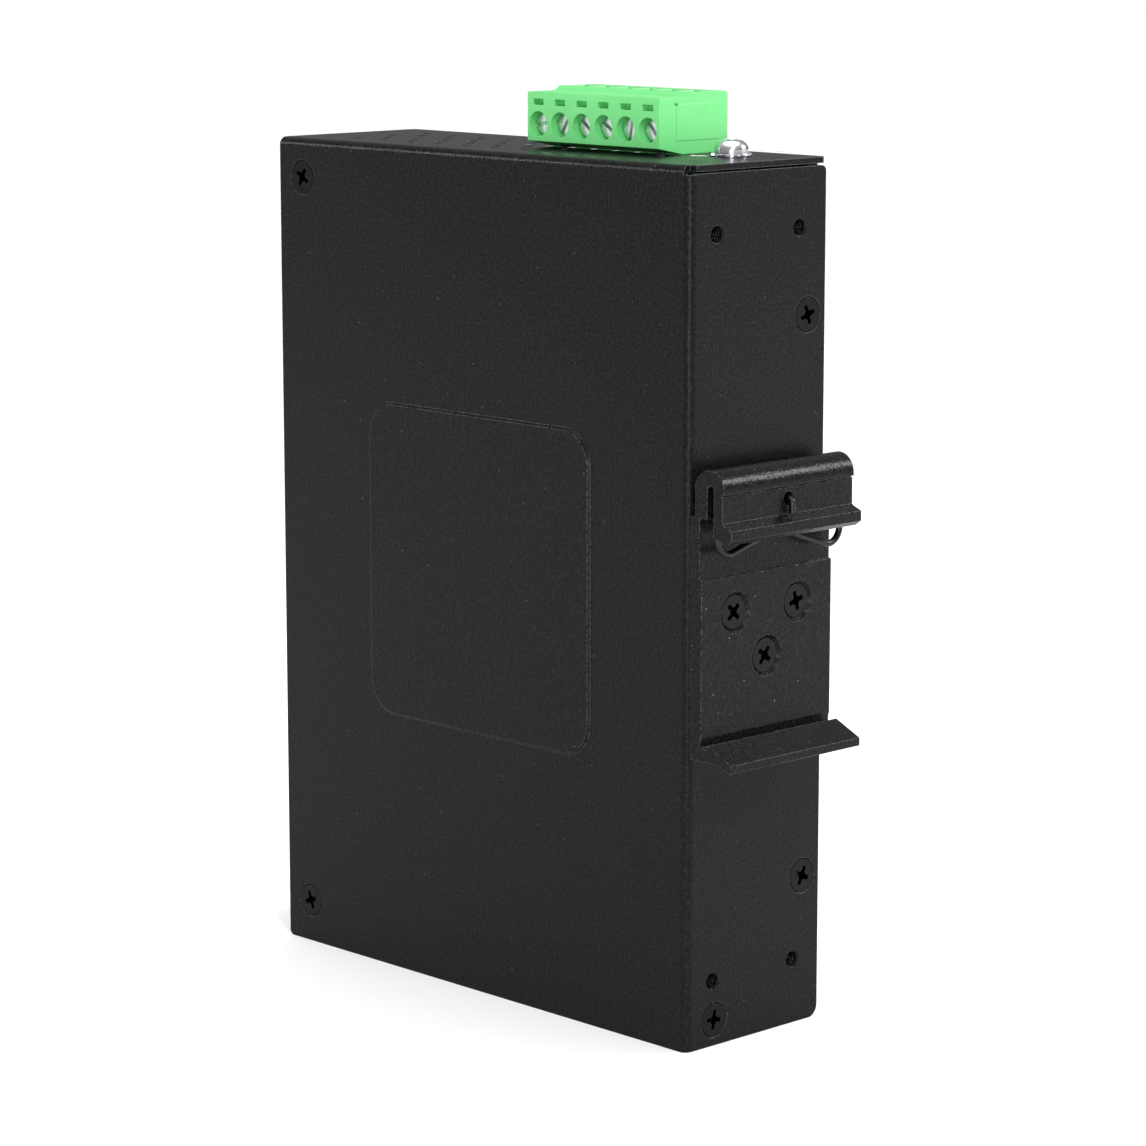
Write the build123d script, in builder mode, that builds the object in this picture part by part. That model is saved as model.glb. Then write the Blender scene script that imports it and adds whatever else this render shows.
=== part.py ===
from build123d import *
import os

# Network switch that powers devices through its ports, made for a 35 mm rail.
# Millimetres. +Z is up, the ports face -Y, the rail clip is on +Y.
# The origin is the middle of the housing's footprint, on its underside.

# Housing
width = 31.0
depth = 99.0
height = 142.0
sheet = 1.0
bend_radius = 1.4
shell_gap = 0.1
seam_slit = 0.35
plate_corner = 1.0
foot_corner = 2.0
relief_play = 0.1
floor_slit = 0.3

# Raised field pressed into the side panel
field_size = 54.0
field_middle_y = 0.5
field_middle_z = 71.6
field_height = 0.4
field_corner = 6.0

# Chassis flanges
front_flange_depth = 11.0
rear_lip_width = 3.0
rear_tab_reach = 8.0
rear_tab_height = 18.0
foot_flange_height = 8.0
foot_flange_left = -4.0
foot_flange_play = 1.0

# Threaded fasteners, all M3
thread_radius = 1.5
tapped_radius = 1.25
thread_play = 0.02
head_radius = 2.75
head_rim = 0.15
sink_radius = 3.0
sink_play = 0.03
flange_sink_radius = 1.95
screw_length = 5.0
recess_span = 3.2
recess_arm = 0.75
recess_core = 0.8
recess_depth = 1.1
recess_taper = 12
pan_rim_share = 0.35
pan_shoulder_share = 0.82
pan_shoulder_rise = 0.78
pan_crest_share = 0.45
nut_bevel = 0.3
nut_radius = 3.0
nut_height = 1.6
burr_radius = 2.1
burr_height = 1.4
burr_entry = 0.35
side_screw_turns = (20, -30)
rear_screw_turns = (20, -25, -8)
clip_screw_turns = (16, 45, -37)
ground_screw_turn = 30
board_screw_turn = 45

# Places of the cover screws and of the bracket holes
side_screw_setback = 5.8
side_screw_top_drop = 6.6
side_screw_foot_rise = 7.4
rear_screw_inset = 3.9
rear_screw_upper_z = 117.0
rear_screw_lower_z = 24.6
foot_screw_x = 8.95
foot_screw_z = 4.3
bracket_spacing_x = 18.8
bracket_lower_z = 10.8
bracket_upper_z = 131.05

# Vents, in rows that are staggered by half a pitch
vent_radius = 1.0
vent_pitch = 7.0
vent_row_pitch = 4.0
vent_rows = 5
vent_columns = 6
vent_first_y = -38.0
foot_vent_columns = 5

# Rail clip, an extrusion
clip_width = 30.0
clip_foot_z = 48.4
clip_top_z = 95.0
clip_step_z = 77.4
clip_plate = 2.5
clip_plate_thin = 2.0
clip_leg_start = 1.0
clip_leg = 2.6
clip_slot = 1.4
clip_front = 1.9
clip_band = 0.3
clip_slot_cap = 2.4
clip_leg_foot_z = 87.15
clip_band_z = 91.4
band_groove = 0.25
clip_front_foot_z = 84.6
ledge_reach = 2.0
ledge_root_z = 86.6
ledge_tip_z = 85.9
ledge_low_z = 84.3
ledge_nose_z = 83.4
ledge_nose_setback = 1.2
ledge_root_bevel = 0.25
hook_reach = 9.2
hook_slope_start = 6.2
hook_drop = 1.2
hook_tip = 1.5
hook_lip_z = 51.2
hook_lip_y = 3.8
groove_floor_z = 50.5
groove_width = 1.5
edge_round = 0.25
clip_screw_x = 7.25
clip_screw_z = 71.35
clip_centre_screw_z = 63.4
clip_sink_radius = 3.4
clip_screw_length = 6.0
clip_bore_play = 0.1
anchor_radius = 1.15
anchor_z = 89.3

# Wire spring of the clip
wire_radius = 0.55
spring_centre_z = 84.3
spring_left_x = 13.3
spring_left_z = 80.45
spring_right_x = -14.9
spring_right_z = 79.3
spring_high_z = 90.6
spring_bend = 2.6
spring_gap = 0.9
anchor_bend = 0.8
anchor_reach = 0.85
anchor_drop = 2.3

# Power terminal, plug and header
poles = 6
pole_pitch = 5.08
plug_middle_y = 16.4
plug_face_x = 4.4
plug_back_x = -11.3
plug_base_z = 143.2
plug_top_z = 151.2
crown_rise = 0.7
crown_front_x = -1.8
crown_bevel = 1.0
plug_neck_front_x = -0.9
plug_neck_back_x = -8.6
plug_neck_base_z = 134.5
plug_bevel = 0.4
plug_back_bevel = 1.9
plug_seat_gap = 0.12
neck_inset = 0.24
end_pad = 0.06
pad_front_x = 0.5
pad_back_x = -7.3
pad_foot_x = -9.2
pad_margin = 1.1
notch_width = 0.8
notch_height = 0.4
notch_depth = 0.35
screw_hole_radius = 2.05
screw_hole_z = 146.0
clamp_head_radius = 1.85
clamp_head_height = 1.6
clamp_head_edge = 0.2
clamp_head_sink = 1.35
clamp_radius = 1.25
clamp_play = 0.15
clamp_slot = 0.6
clamp_slot_depth = 0.7
clamp_slot_turns = (10, 60, -40, -34, 80, -47)
probe_width = 2.4
probe_height = 1.0
probe_z = 149.6
probe_depth = 1.6
cage_front_x = -3.2
cage_depth = 6.4
cage_width = 4.1
cage_height = 4.2
cage_wall = 0.7
cage_play = 0.2
entry_mouth = 4.2
entry_throat = 3.4
entry_taper_depth = 1.8
contact_gap = 1.1
contact_leg = 0.5
contact_depth = 2.0
contact_base = 0.6
contact_play = 0.3
contact_tongue = 0.6
contact_tongue_width = 2.4
pin_size = 1.0
pin_x = -4.75
pin_top_gap = 2.6
pin_bend_z = 129.2
pin_tail = 0.6
pin_hole_play = 0.05
header_wall = 1.2
header_floor = 1.5
header_floor_z = 130.5
header_play = 0.35
header_rim_gap = 0.25
header_rib = 1.0
header_rib_depth = 0.5
opening_play = 0.3

# Buttons pressed up from the top plate under the plug's overhang
rest_radius = 0.65
rest_height = 0.7
rest_round = 0.2
rest_x = 3.2
rest_y = (8.9, 30.8)

# Ground screw on the top plate
ground_x = -4.5
ground_y = 39.05
pan_head_radius = 2.75
pan_head_height = 2.2
ground_length = 8.0
washer_radius = 2.85
tooth_reach = 0.45
tooth_root = 0.05
tooth_count = 10
tooth_width = 0.9
tooth_twist = 22.0
washer_height = 0.45
tooth_thickness = 0.34
ground_nut_height = 2.4

# Main board
board_thickness = 1.6
standoff_height = 2.4
standoff_radius = 2.5
board_front_gap = 2.5
board_rear_gap = 7.0
board_foot_z = 5.0
board_top_z = 135.0
fixing_y = (-9.0, 38.0)
fixing_z = (10.0, 70.0, 130.0)
fixing_hole_radius = 1.6
board_screw_length = 4.0
pin_hole_radius = 0.8

# Port jacks
ports = 5
port_gap = 2.5
first_port_z = 16.0
jack_depth = 20.5
jack_rise = 13.1
jack_width = 15.5
shield_wall = 0.25
shield_play = 0.05
port_cut_play = 0.25
cavity_width = 11.9
cavity_height = 6.8
cavity_depth = 13.2
cavity_top_wall = 1.7
latch_width = 6.1
latch_height = 1.4
latch_slot_width = 3.5
latch_slot_height = 1.2
latch_slot_depth = 4.0
contact_pitch = 1.02
contact_count = 8
contact_wire = 0.35
contact_dip = 2.2
window_width = 2.3
window_height = 1.1
window_depth = 5.0
window_inset = 0.4
window_play = 0.05

# Status lamps
lamps = 4
lamp_radius = 1.5
lamp_length = 7.5
lamp_round = 1.05
lamp_proud = 0.5
lamp_pitch = 6.0
first_lamp_z = 106.0
lamp_rise = 5.5
lamp_play = 0.1
holder_rise = 8.0
holder_depth = 6.0
holder_gap = 0.4
holder_margin = 3.5

# Components on the board, each placed by its y and z
contact_setback = 2.5
contact_tip = 2.5
transformer_y = -19.5
transformer_depth = 11.0
transformer_width = 15.0
transformer_rise = 5.6
transformer_bevel = 0.5
lead_reach = 1.2
lead_pitch = 2.5
lead_count = 6
lead_width = 0.6
lead_rise = 0.5
chip_place = (1.0, 52.0)
chip_size = 20.0
chip_rise = 1.6
chip_bevel = 0.3
pad_thickness = 0.5
pad_inset = 0.5
sink_size = 21.0
sink_base = 1.8
fin_rise = 6.0
fin_count = 7
fin_thickness = 0.8
controller_place = (1.0, 88.0)
crystal_place = (1.0, 30.0)
rectifier_place = (10.0, 73.0)
fuse_place = (-1.0, 118.0)
relay_place = (19.0, 96.0)
inductor_places = ((24.0, 82.0), (24.0, 27.0))
inductor_size = 12.0
inductor_corner = 2.0
inductor_rise = 8.0
inductor_dish_radius = 4.2
inductor_dish_depth = 0.6
inductor_bore_radius = 0.84
inductor_bore_depth = 2.4
capacitor_places = ((10.0, 111.0), (22.0, 111.0), (34.0, 111.0), (35.0, 98.0))
can_radius = 5.0
can_rise = 20.0
can_round = 0.6
score_length = 16.0
score_width = 0.4
score_depth = 0.15
core_place = (24.0, 54.0)
core_length = 20.0
core_width = 20.0
core_limb = 5.0
core_window = 4.5
core_rise = 5.0
core_rise_from = 3.5
coil_play = 0.2
coil_corner = 1.2
arrester_places = (8.0, 17.0, 26.0)
arrester_radius = 3.5
arrester_thickness = 4.0
arrester_z = 121.0
arrester_round = 0.8

# Moulded components as length, width, rise and bevel
controller_size = (14.0, 14.0, 1.4, 0.3)
crystal_size = (11.0, 4.6, 3.5, 0.6)
rectifier_size = (9.0, 7.0, 2.8, 0.4)
fuse_size = (10.0, 4.0, 4.0, 0.5)
relay_size = (20.0, 10.0, 10.0, 0.4)

x_out = width / 2
y_out = depth / 2
x_in = x_out - sheet
y_in = y_out - sheet
top_under_z = height - sheet
relief = bend_radius + relief_play
head_sink = sink_radius - head_radius - head_rim - sink_play
clip_screw_sink = clip_sink_radius - head_radius - head_rim - sink_play
chassis_right = x_in - shell_gap
chassis_back = y_in - shell_gap
foot_flange_width = chassis_right - foot_flange_play - foot_flange_left
chassis_top = top_under_z - shell_gap
rear_wall_top = top_under_z - seam_slit
board_back = -x_out + sheet + standoff_height
board_face = board_back + board_thickness
port_pitch = jack_width + port_gap
port_heights = [first_port_z + i * port_pitch for i in range(ports)]
lamp_heights = [first_lamp_z + i * lamp_pitch for i in range(lamps)]
pole_places = [plug_middle_y + (i - (poles - 1) / 2) * pole_pitch for i in range(poles)]

side_screw_y = -y_out + side_screw_setback
side_screw_heights = (side_screw_foot_rise, height - side_screw_top_drop)
rear_screw_x = -x_out + rear_screw_inset
rear_screws = (
    (rear_screw_x, rear_screw_upper_z),
    (rear_screw_x, rear_screw_lower_z),
    (foot_screw_x, foot_screw_z),
)
bracket_holes = [
    (side * bracket_spacing_x / 2, z)
    for side in (-1, 1)
    for z in (bracket_lower_z, bracket_upper_z)
]
clip_screws = ((-clip_screw_x, clip_screw_z), (clip_screw_x, clip_screw_z), (0, clip_centre_screw_z))


def facing_x(y, z, x=x_out):
    """Plane at a point that faces +X, with its own x axis along +Y."""
    return Plane((x, y, z), x_dir=(0, 1, 0), z_dir=(1, 0, 0))


def facing_y(x, z, y=y_out):
    """Plane at a point that faces +Y."""
    return Plane((x, y, z), x_dir=(-1, 0, 0), z_dir=(0, 1, 0))


def on_board(y, z):
    """Plane on the board's component side."""
    return facing_x(y, z, board_face)


def cross_recess(deep):
    """Tapered cross that is cut into a screw's head, from z = 0 down."""
    with BuildPart() as recess:
        with BuildSketch(Plane.XY):
            Rectangle(recess_span, recess_arm)
            Rectangle(recess_arm, recess_span)
            Circle(recess_core)
        extrude(amount=-deep, taper=recess_taper)
    return recess.part


def flat_head_screw(length, turn):
    """Countersunk screw, head face at z = 0 and shank along -Z, its cross turned by degrees."""
    with BuildPart() as screw:
        with BuildSketch(Plane.XZ):
            with BuildLine():
                Polyline(
                    (0, 0),
                    (head_radius, 0),
                    (head_radius, -head_rim),
                    (thread_radius, -head_rim - head_radius + thread_radius),
                    (thread_radius, -length),
                    (0, -length),
                    close=True,
                )
            make_face()
        revolve(axis=Axis.Z)
        add(cross_recess(recess_depth), rotation=(0, 0, turn), mode=Mode.SUBTRACT)
    return screw.part


def pan_head_screw(length, turn):
    """Domed screw that seats at z = 0, its shank along -Z and its cross turned by degrees."""
    rim_z = pan_head_height * pan_rim_share
    shoulder = (pan_head_radius * pan_shoulder_share, pan_head_height * pan_shoulder_rise)
    crest_radius = pan_head_radius * pan_crest_share
    with BuildPart() as screw:
        with BuildSketch(Plane.XZ):
            with BuildLine():
                Line((0, -length), (thread_radius, -length))
                Line((thread_radius, -length), (thread_radius, 0))
                Line((thread_radius, 0), (pan_head_radius, 0))
                Line((pan_head_radius, 0), (pan_head_radius, rim_z))
                ThreePointArc((pan_head_radius, rim_z), shoulder, (crest_radius, pan_head_height))
                Line((crest_radius, pan_head_height), (0, pan_head_height))
                Line((0, pan_head_height), (0, -length))
            make_face()
        revolve(axis=Axis.Z)
        with Locations((0, 0, pan_head_height)):
            add(cross_recess(recess_depth + head_rim), rotation=(0, 0, turn), mode=Mode.SUBTRACT)
    return screw.part


def clinch_nut():
    """Round nut pressed into a sheet, seated at z = 0 and standing along -Z."""
    with BuildPart() as nut:
        Cylinder(nut_radius, nut_height, align=(Align.CENTER, Align.CENTER, Align.MAX))
        chamfer(nut.faces().sort_by(Axis.Z)[0].edges(), length=nut_bevel)
        Hole(thread_radius + thread_play)
    return nut.part


# Cover: side panel, top plate and rear wall, bent from one sheet
with BuildPart() as cover:
    with BuildSketch(Plane.YZ.offset(x_out)):
        Rectangle(depth, height, align=(Align.CENTER, Align.MIN))
    extrude(amount=-sheet)
    with BuildSketch(Plane.XY.offset(height)):
        Rectangle(width, depth)
    extrude(amount=-sheet)
    with BuildSketch(Plane.XZ.offset(-y_out)):
        Rectangle(width, rear_wall_top, align=(Align.CENTER, Align.MIN))
    extrude(amount=sheet)
    with Locations((x_out, y_out, height)):
        Box(relief, relief, relief, align=(Align.MAX, Align.MAX, Align.MAX), mode=Mode.SUBTRACT)
    upright = cover.edges().filter_by(Axis.Z)
    fillet(upright.sort_by_distance((x_out, y_out, height / 2))[0], radius=bend_radius)
    upright = cover.edges().filter_by(Axis.Z)
    fillet(upright.sort_by_distance((x_in, y_in, height / 2))[0], radius=bend_radius - sheet)
    lengthwise = cover.edges().filter_by(Axis.Y)
    fillet(lengthwise.sort_by_distance((x_out, 0, height))[0], radius=bend_radius)
    lengthwise = cover.edges().filter_by(Axis.Y)
    fillet(lengthwise.sort_by_distance((x_in, 0, top_under_z))[0], radius=bend_radius - sheet)
    upright = cover.edges().filter_by(Axis.Z).group_by(Axis.X)[0]
    fillet(upright.group_by(Axis.Z)[-1], radius=plate_corner)
    across = cover.edges().filter_by(Axis.X)
    fillet(across.sort_by_distance((x_out, -y_out, 0))[0], radius=plate_corner)
    ends = cover.edges().filter_by(Axis.Y).group_by(Axis.X)[0]
    fillet(ends.sort_by(Axis.Z)[0], radius=foot_corner)
    fillet(ends.sort_by(Axis.Z)[1], radius=plate_corner)
    # Pressed field: proud outside, hollow by as much inside
    with BuildSketch(facing_x(field_middle_y, field_middle_z, x_out)):
        RectangleRounded(field_size, field_size, field_corner)
    extrude(amount=field_height, taper=45)
    with BuildSketch(facing_x(field_middle_y, field_middle_z, x_in)):
        RectangleRounded(field_size - field_height, field_size - field_height, field_corner)
    extrude(amount=field_height, taper=45, mode=Mode.SUBTRACT)
    # Screw holes, bracket holes with their burrs, and the clip's holes
    with Locations(*[facing_x(side_screw_y, z) for z in side_screw_heights]):
        CounterSinkHole(thread_radius, sink_radius, depth=2 * sheet, counter_sink_angle=90)
    with Locations(*[facing_y(x, z) for x, z in rear_screws]):
        CounterSinkHole(thread_radius, sink_radius, depth=2 * sheet, counter_sink_angle=90)
    with Locations(*[facing_y(x, z, y_in) for x, z in bracket_holes]):
        Cylinder(burr_radius, burr_height, align=(Align.CENTER, Align.CENTER, Align.MAX))
    with Locations(*[facing_y(x, z) for x, z in bracket_holes]):
        Hole(tapped_radius, depth=sheet + burr_height)
    rims = cover.edges().filter_by(GeomType.CIRCLE).group_by(Axis.Y)[-1]
    fillet([rim for rim in rims if abs(rim.radius - tapped_radius) < thread_play], radius=burr_entry)
    with Locations(*[facing_y(x, z) for x, z in clip_screws]):
        Hole(thread_radius + clip_bore_play, depth=2 * sheet)
    # Top plate: vents, the terminal's opening and the ground screw's hole
    with BuildSketch(Plane.XY.offset(height)):
        for row in range(vent_rows):
            row_x = (row - (vent_rows - 1) / 2) * vent_row_pitch
            row_y = vent_first_y + (row % 2) * vent_pitch / 2
            with Locations(*[(row_x, row_y + i * vent_pitch) for i in range(vent_columns)]):
                Circle(vent_radius)
        # The row nearest the side panel has one vent more
        with Locations((row_x, vent_first_y + vent_columns * vent_pitch)):
            Circle(vent_radius)
    extrude(amount=-sheet, mode=Mode.SUBTRACT)
    with BuildSketch(Plane.XY.offset(height)):
        with Locations(((plug_neck_front_x + plug_neck_back_x) / 2, plug_middle_y)):
            Rectangle(
                plug_neck_front_x - plug_neck_back_x + 2 * opening_play,
                poles * pole_pitch - 2 * neck_inset + 2 * opening_play,
            )
    extrude(amount=-sheet, mode=Mode.SUBTRACT)
    with Locations((ground_x, ground_y, height)):
        Hole(thread_radius + clip_bore_play, depth=sheet)
    with Locations(*[(rest_x, y, height) for y in rest_y]):
        Cylinder(rest_radius, rest_height, align=(Align.CENTER, Align.CENTER, Align.MIN))
    fillet(cover.faces().group_by(Axis.Z)[-1].edges(), radius=rest_round)
cover.part.label = "cover"
export_step(cover.part, "parts/cover.step")

# Chassis: front wall, left side, floor and flanges, bent from one sheet
with BuildPart() as chassis:
    with BuildSketch(Plane.XY):
        with BuildLine():
            FilletPolyline(
                (-x_out + rear_lip_width, chassis_back),
                (-x_out, chassis_back),
                (-x_out, -y_out),
                (chassis_right, -y_out),
                (chassis_right, -y_out + front_flange_depth),
                radius=bend_radius,
            )
            offset(amount=sheet, side=Side.LEFT)
        make_face()
    extrude(amount=chassis_top)
    # Flange feet stop above the floor
    with BuildSketch(Plane.XY):
        with Locations((chassis_right - relief, -y_out), (-x_out, chassis_back - relief)):
            Rectangle(width, depth, align=(Align.MIN, Align.MIN))
        with Locations((-x_out, -y_out)):
            Rectangle(relief, relief, align=(Align.MIN, Align.MIN))
    extrude(amount=relief, mode=Mode.SUBTRACT)
    with BuildSketch(Plane.XY):
        with Locations((-x_out + relief, -y_in + floor_slit)):
            Rectangle(
                chassis_right + x_out - relief,
                chassis_back - relief + y_in - floor_slit,
                align=(Align.MIN, Align.MIN),
            )
        with Locations((-x_out, -y_out + relief)):
            Rectangle(2 * relief, chassis_back + y_out - 2 * relief, align=(Align.MIN, Align.MIN))
        with Locations((foot_flange_left, chassis_back - 2 * relief)):
            Rectangle(foot_flange_width, 2 * relief, align=(Align.MIN, Align.MIN))
    extrude(amount=sheet)
    with BuildSketch(Plane.XZ.offset(-chassis_back)):
        with Locations((foot_flange_left, 0)):
            Rectangle(foot_flange_width, foot_flange_height, align=(Align.MIN, Align.MIN))
    extrude(amount=sheet)
    lengthwise = chassis.edges().filter_by(Axis.Y)
    fillet(lengthwise.sort_by_distance((-x_out, 0, 0))[0], radius=bend_radius)
    lengthwise = chassis.edges().filter_by(Axis.Y)
    fillet(lengthwise.sort_by_distance((-x_in, 0, sheet))[0], radius=bend_radius - sheet)
    across = chassis.edges().filter_by(Axis.X)
    fillet(across.sort_by_distance((foot_screw_x, chassis_back, 0))[0], radius=bend_radius)
    across = chassis.edges().filter_by(Axis.X).sort_by_distance((foot_screw_x, chassis_back - sheet, sheet))
    fillet(across[0], radius=bend_radius - sheet)
    # Tabs for the two upper rear screws
    with BuildSketch(Plane.XZ.offset(-chassis_back)):
        tab_root_x = -x_out + rear_lip_width - sheet
        with Locations(*[(tab_root_x, z) for x, z in rear_screws[0:2]]):
            Rectangle(
                rear_tab_reach - rear_lip_width + sheet,
                rear_tab_height,
                align=(Align.MIN, Align.CENTER),
            )
    extrude(amount=sheet)
    # Tapped burrs behind the flanges
    flange_sides = [facing_x(side_screw_y, z, chassis_right) for z in side_screw_heights]
    flange_backs = [facing_y(x, z, chassis_back) for x, z in rear_screws]
    with Locations(*[place.offset(-sheet) for place in flange_sides + flange_backs]):
        Cylinder(burr_radius, burr_height, align=(Align.CENTER, Align.CENTER, Align.MAX))
    with Locations(*flange_sides, *flange_backs):
        CounterSinkHole(
            thread_radius + thread_play,
            flange_sink_radius,
            depth=sheet + burr_height,
            counter_sink_angle=90,
        )
    # Front wall: port cut-outs and lamp holes
    with BuildSketch(Plane.XZ.offset(y_out)):
        for z in port_heights:
            with Locations((board_face + (jack_rise + shield_wall) / 2, z)):
                Rectangle(
                    jack_rise + shield_wall + 2 * port_cut_play,
                    jack_width + 2 * (shield_wall + shield_play + port_cut_play),
                )
        with Locations(*[(board_face + lamp_rise, z) for z in lamp_heights]):
            Circle(lamp_radius + lamp_play)
    extrude(amount=-sheet, mode=Mode.SUBTRACT)
    # Floor vents
    with BuildSketch(Plane.XY):
        for row in range(vent_rows):
            row_x = (row - (vent_rows - 1) / 2) * vent_row_pitch
            row_y = vent_first_y + (row % 2) * vent_pitch / 2
            with Locations(*[(row_x, row_y + i * vent_pitch) for i in range(foot_vent_columns)]):
                Circle(vent_radius)
    extrude(amount=sheet, mode=Mode.SUBTRACT)
chassis.part.label = "chassis"
export_step(chassis.part, "parts/chassis.step")

# Screws that hold the cover on the chassis
with BuildPart() as cover_side_screws:
    for z, turn in zip(side_screw_heights, side_screw_turns):
        with Locations(facing_x(side_screw_y, z, x_out - head_sink)):
            add(flat_head_screw(screw_length, turn))
cover_side_screws.part.label = "cover_side_screws"
export_step(cover_side_screws.part, "parts/cover_side_screws.step")

with BuildPart() as cover_rear_screws:
    for (x, z), turn in zip(rear_screws, rear_screw_turns):
        with Locations(facing_y(x, z, y_out - head_sink)):
            add(flat_head_screw(screw_length, turn))
cover_rear_screws.part.label = "cover_rear_screws"
export_step(cover_rear_screws.part, "parts/cover_rear_screws.step")

# Rail clip
leg_back = y_out + clip_leg_start
slot_back = leg_back + clip_leg
slot_front = slot_back + clip_slot
front_face = slot_front + clip_front
band_face = front_face + clip_band
arch_radius = (band_face - leg_back) / 2
arch_z = clip_top_z - arch_radius
slot_top = clip_top_z - clip_slot_cap
hook_y = y_out + hook_reach
lip_y = y_out + hook_lip_y
thick_face = y_out + clip_plate
thin_face = y_out + clip_plate_thin
groove_back = lip_y - groove_width

with BuildPart() as din_clip:
    with BuildSketch(Plane.YZ.offset(-clip_width / 2)) as clip_profile:
        with BuildLine():
            Polyline(
                (leg_back, arch_z),
                (leg_back, clip_leg_foot_z + edge_round),
                (y_out, clip_leg_foot_z + edge_round),
                (y_out, clip_foot_z),
                (y_out + hook_slope_start, clip_foot_z),
                (hook_y, clip_foot_z - hook_drop),
                (hook_y, clip_foot_z - hook_drop + hook_tip),
                (lip_y, hook_lip_z),
                (lip_y, groove_floor_z),
                (groove_back, groove_floor_z),
                (groove_back, groove_floor_z + groove_width / 2),
                (thick_face, groove_floor_z + groove_width),
                (thick_face, clip_step_z),
                (thin_face, clip_step_z),
                (thin_face, clip_leg_foot_z),
                (slot_back, clip_leg_foot_z),
                (slot_back, slot_top - clip_slot / 2),
            )
            ThreePointArc(
                (slot_back, slot_top - clip_slot / 2),
                ((slot_back + slot_front) / 2, slot_top),
                (slot_front, slot_top - clip_slot / 2),
            )
            Polyline(
                (slot_front, slot_top - clip_slot / 2),
                (slot_front, clip_front_foot_z),
                (front_face + ledge_reach - ledge_nose_setback, ledge_nose_z),
                (front_face + ledge_reach, ledge_low_z),
                (front_face + ledge_reach, ledge_tip_z),
                (front_face + ledge_root_bevel, ledge_root_z),
                (front_face, ledge_root_z + ledge_root_bevel),
                (front_face, clip_band_z - band_groove),
                (front_face - band_groove, clip_band_z - band_groove),
                (front_face - band_groove, clip_band_z),
                (band_face, clip_band_z),
                (band_face, arch_z),
            )
            ThreePointArc(
                (band_face, arch_z),
                ((band_face + leg_back) / 2, clip_top_z),
                (leg_back, arch_z),
            )
        make_face()
        tips = clip_profile.vertices().group_by(Axis.X)[-1]
        noses = clip_profile.vertices().sort_by_distance((front_face + ledge_reach, ledge_low_z))
        steps = clip_profile.vertices().sort_by_distance((thick_face, clip_step_z))
        lips = clip_profile.vertices().sort_by_distance((lip_y, hook_lip_z))
        fillet(tips + noses[0:3] + steps[0:1] + lips[0:1], radius=edge_round)
    extrude(amount=clip_width)
    with Locations(*[facing_y(x, z, thick_face) for x, z in clip_screws]):
        CounterSinkHole(
            thread_radius + clip_bore_play,
            clip_sink_radius,
            depth=clip_plate,
            counter_sink_angle=90,
        )
    with Locations(facing_y(0, anchor_z, band_face)):
        Hole(anchor_radius, depth=clip_front + clip_band)
din_clip.part.label = "din_clip"
export_step(din_clip.part, "parts/din_clip.step")

# Wire spring that hangs in the clip's slot and is hooked into its hole
spring_y = (slot_back + slot_front) / 2
with BuildPart() as din_spring:
    with BuildLine() as spring_route:
        FilletPolyline(
            (0, front_face + anchor_reach, anchor_z - anchor_drop),
            (0, front_face + anchor_reach, anchor_z),
            (0, spring_y, anchor_z),
            (spring_left_x, spring_y, spring_high_z),
            (spring_left_x, spring_y, spring_left_z),
            (0, spring_y, spring_centre_z),
            (spring_right_x, spring_y, spring_right_z),
            (spring_right_x, spring_y, spring_high_z),
            (-spring_gap, spring_y, spring_high_z),
            radius=(anchor_bend, anchor_bend) + 5 * (spring_bend,),
        )
    with BuildSketch(Plane(spring_route.line @ 0, z_dir=spring_route.line % 0)):
        Circle(wire_radius)
    sweep()
din_spring.part.label = "din_spring"
export_step(din_spring.part, "parts/din_spring.step")

with BuildPart() as din_clip_screws:
    for (x, z), turn in zip(clip_screws, clip_screw_turns):
        with Locations(facing_y(x, z, thick_face - clip_screw_sink)):
            add(flat_head_screw(clip_screw_length, turn))
din_clip_screws.part.label = "din_clip_screws"
export_step(din_clip_screws.part, "parts/din_clip_screws.step")

with BuildPart() as din_clip_nuts:
    with Locations(*[facing_y(x, z, y_in) for x, z in clip_screws]):
        add(clinch_nut())
din_clip_nuts.part.label = "din_clip_nuts"
export_step(din_clip_nuts.part, "parts/din_clip_nuts.step")

# Ground screw, toothed washer and nut on the top plate
with BuildPart() as ground_screw:
    with Locations((ground_x, ground_y, height + washer_height)):
        add(pan_head_screw(ground_length, ground_screw_turn))
ground_screw.part.label = "ground_screw"
export_step(ground_screw.part, "parts/ground_screw.step")

with BuildPart() as ground_washer:
    with Locations((ground_x, ground_y, height)):
        Cylinder(washer_radius, washer_height, align=(Align.CENTER, Align.CENTER, Align.MIN))
        with PolarLocations(washer_radius + (tooth_reach - tooth_root) / 2, tooth_count):
            with Locations(Location((0, 0, washer_height / 2), (tooth_twist, 0, 0))):
                Box(tooth_reach + tooth_root, tooth_width, tooth_thickness)
        Hole(thread_radius + clip_bore_play)
    split(bisect_by=Plane.XY.offset(height), keep=Keep.TOP)
ground_washer.part.label = "ground_washer"
export_step(ground_washer.part, "parts/ground_washer.step")

with BuildPart() as ground_nut:
    with BuildSketch(Plane.XY.offset(top_under_z)):
        with Locations((ground_x, ground_y)):
            RegularPolygon(nut_radius, 6)
            Circle(thread_radius + thread_play, mode=Mode.SUBTRACT)
    extrude(amount=-ground_nut_height)
ground_nut.part.label = "ground_nut"
export_step(ground_nut.part, "parts/ground_nut.step")

# Power plug: moulded body with screw holes, probe slots and wire entries
plug_end = poles * pole_pitch / 2
plug_length = poles * pole_pitch
neck_length = plug_length - 2 * neck_inset
cage_back_x = cage_front_x - cage_depth
cage_middle_x = (cage_front_x + cage_back_x) / 2
cage_foot_z = screw_hole_z - cage_height / 2
cage_head_z = screw_hole_z + cage_height / 2
clamp_seat_x = plug_face_x - clamp_head_sink - clamp_head_height
plug_crown_z = plug_top_z + crown_rise
plug_y_low = plug_middle_y - plug_end

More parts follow.
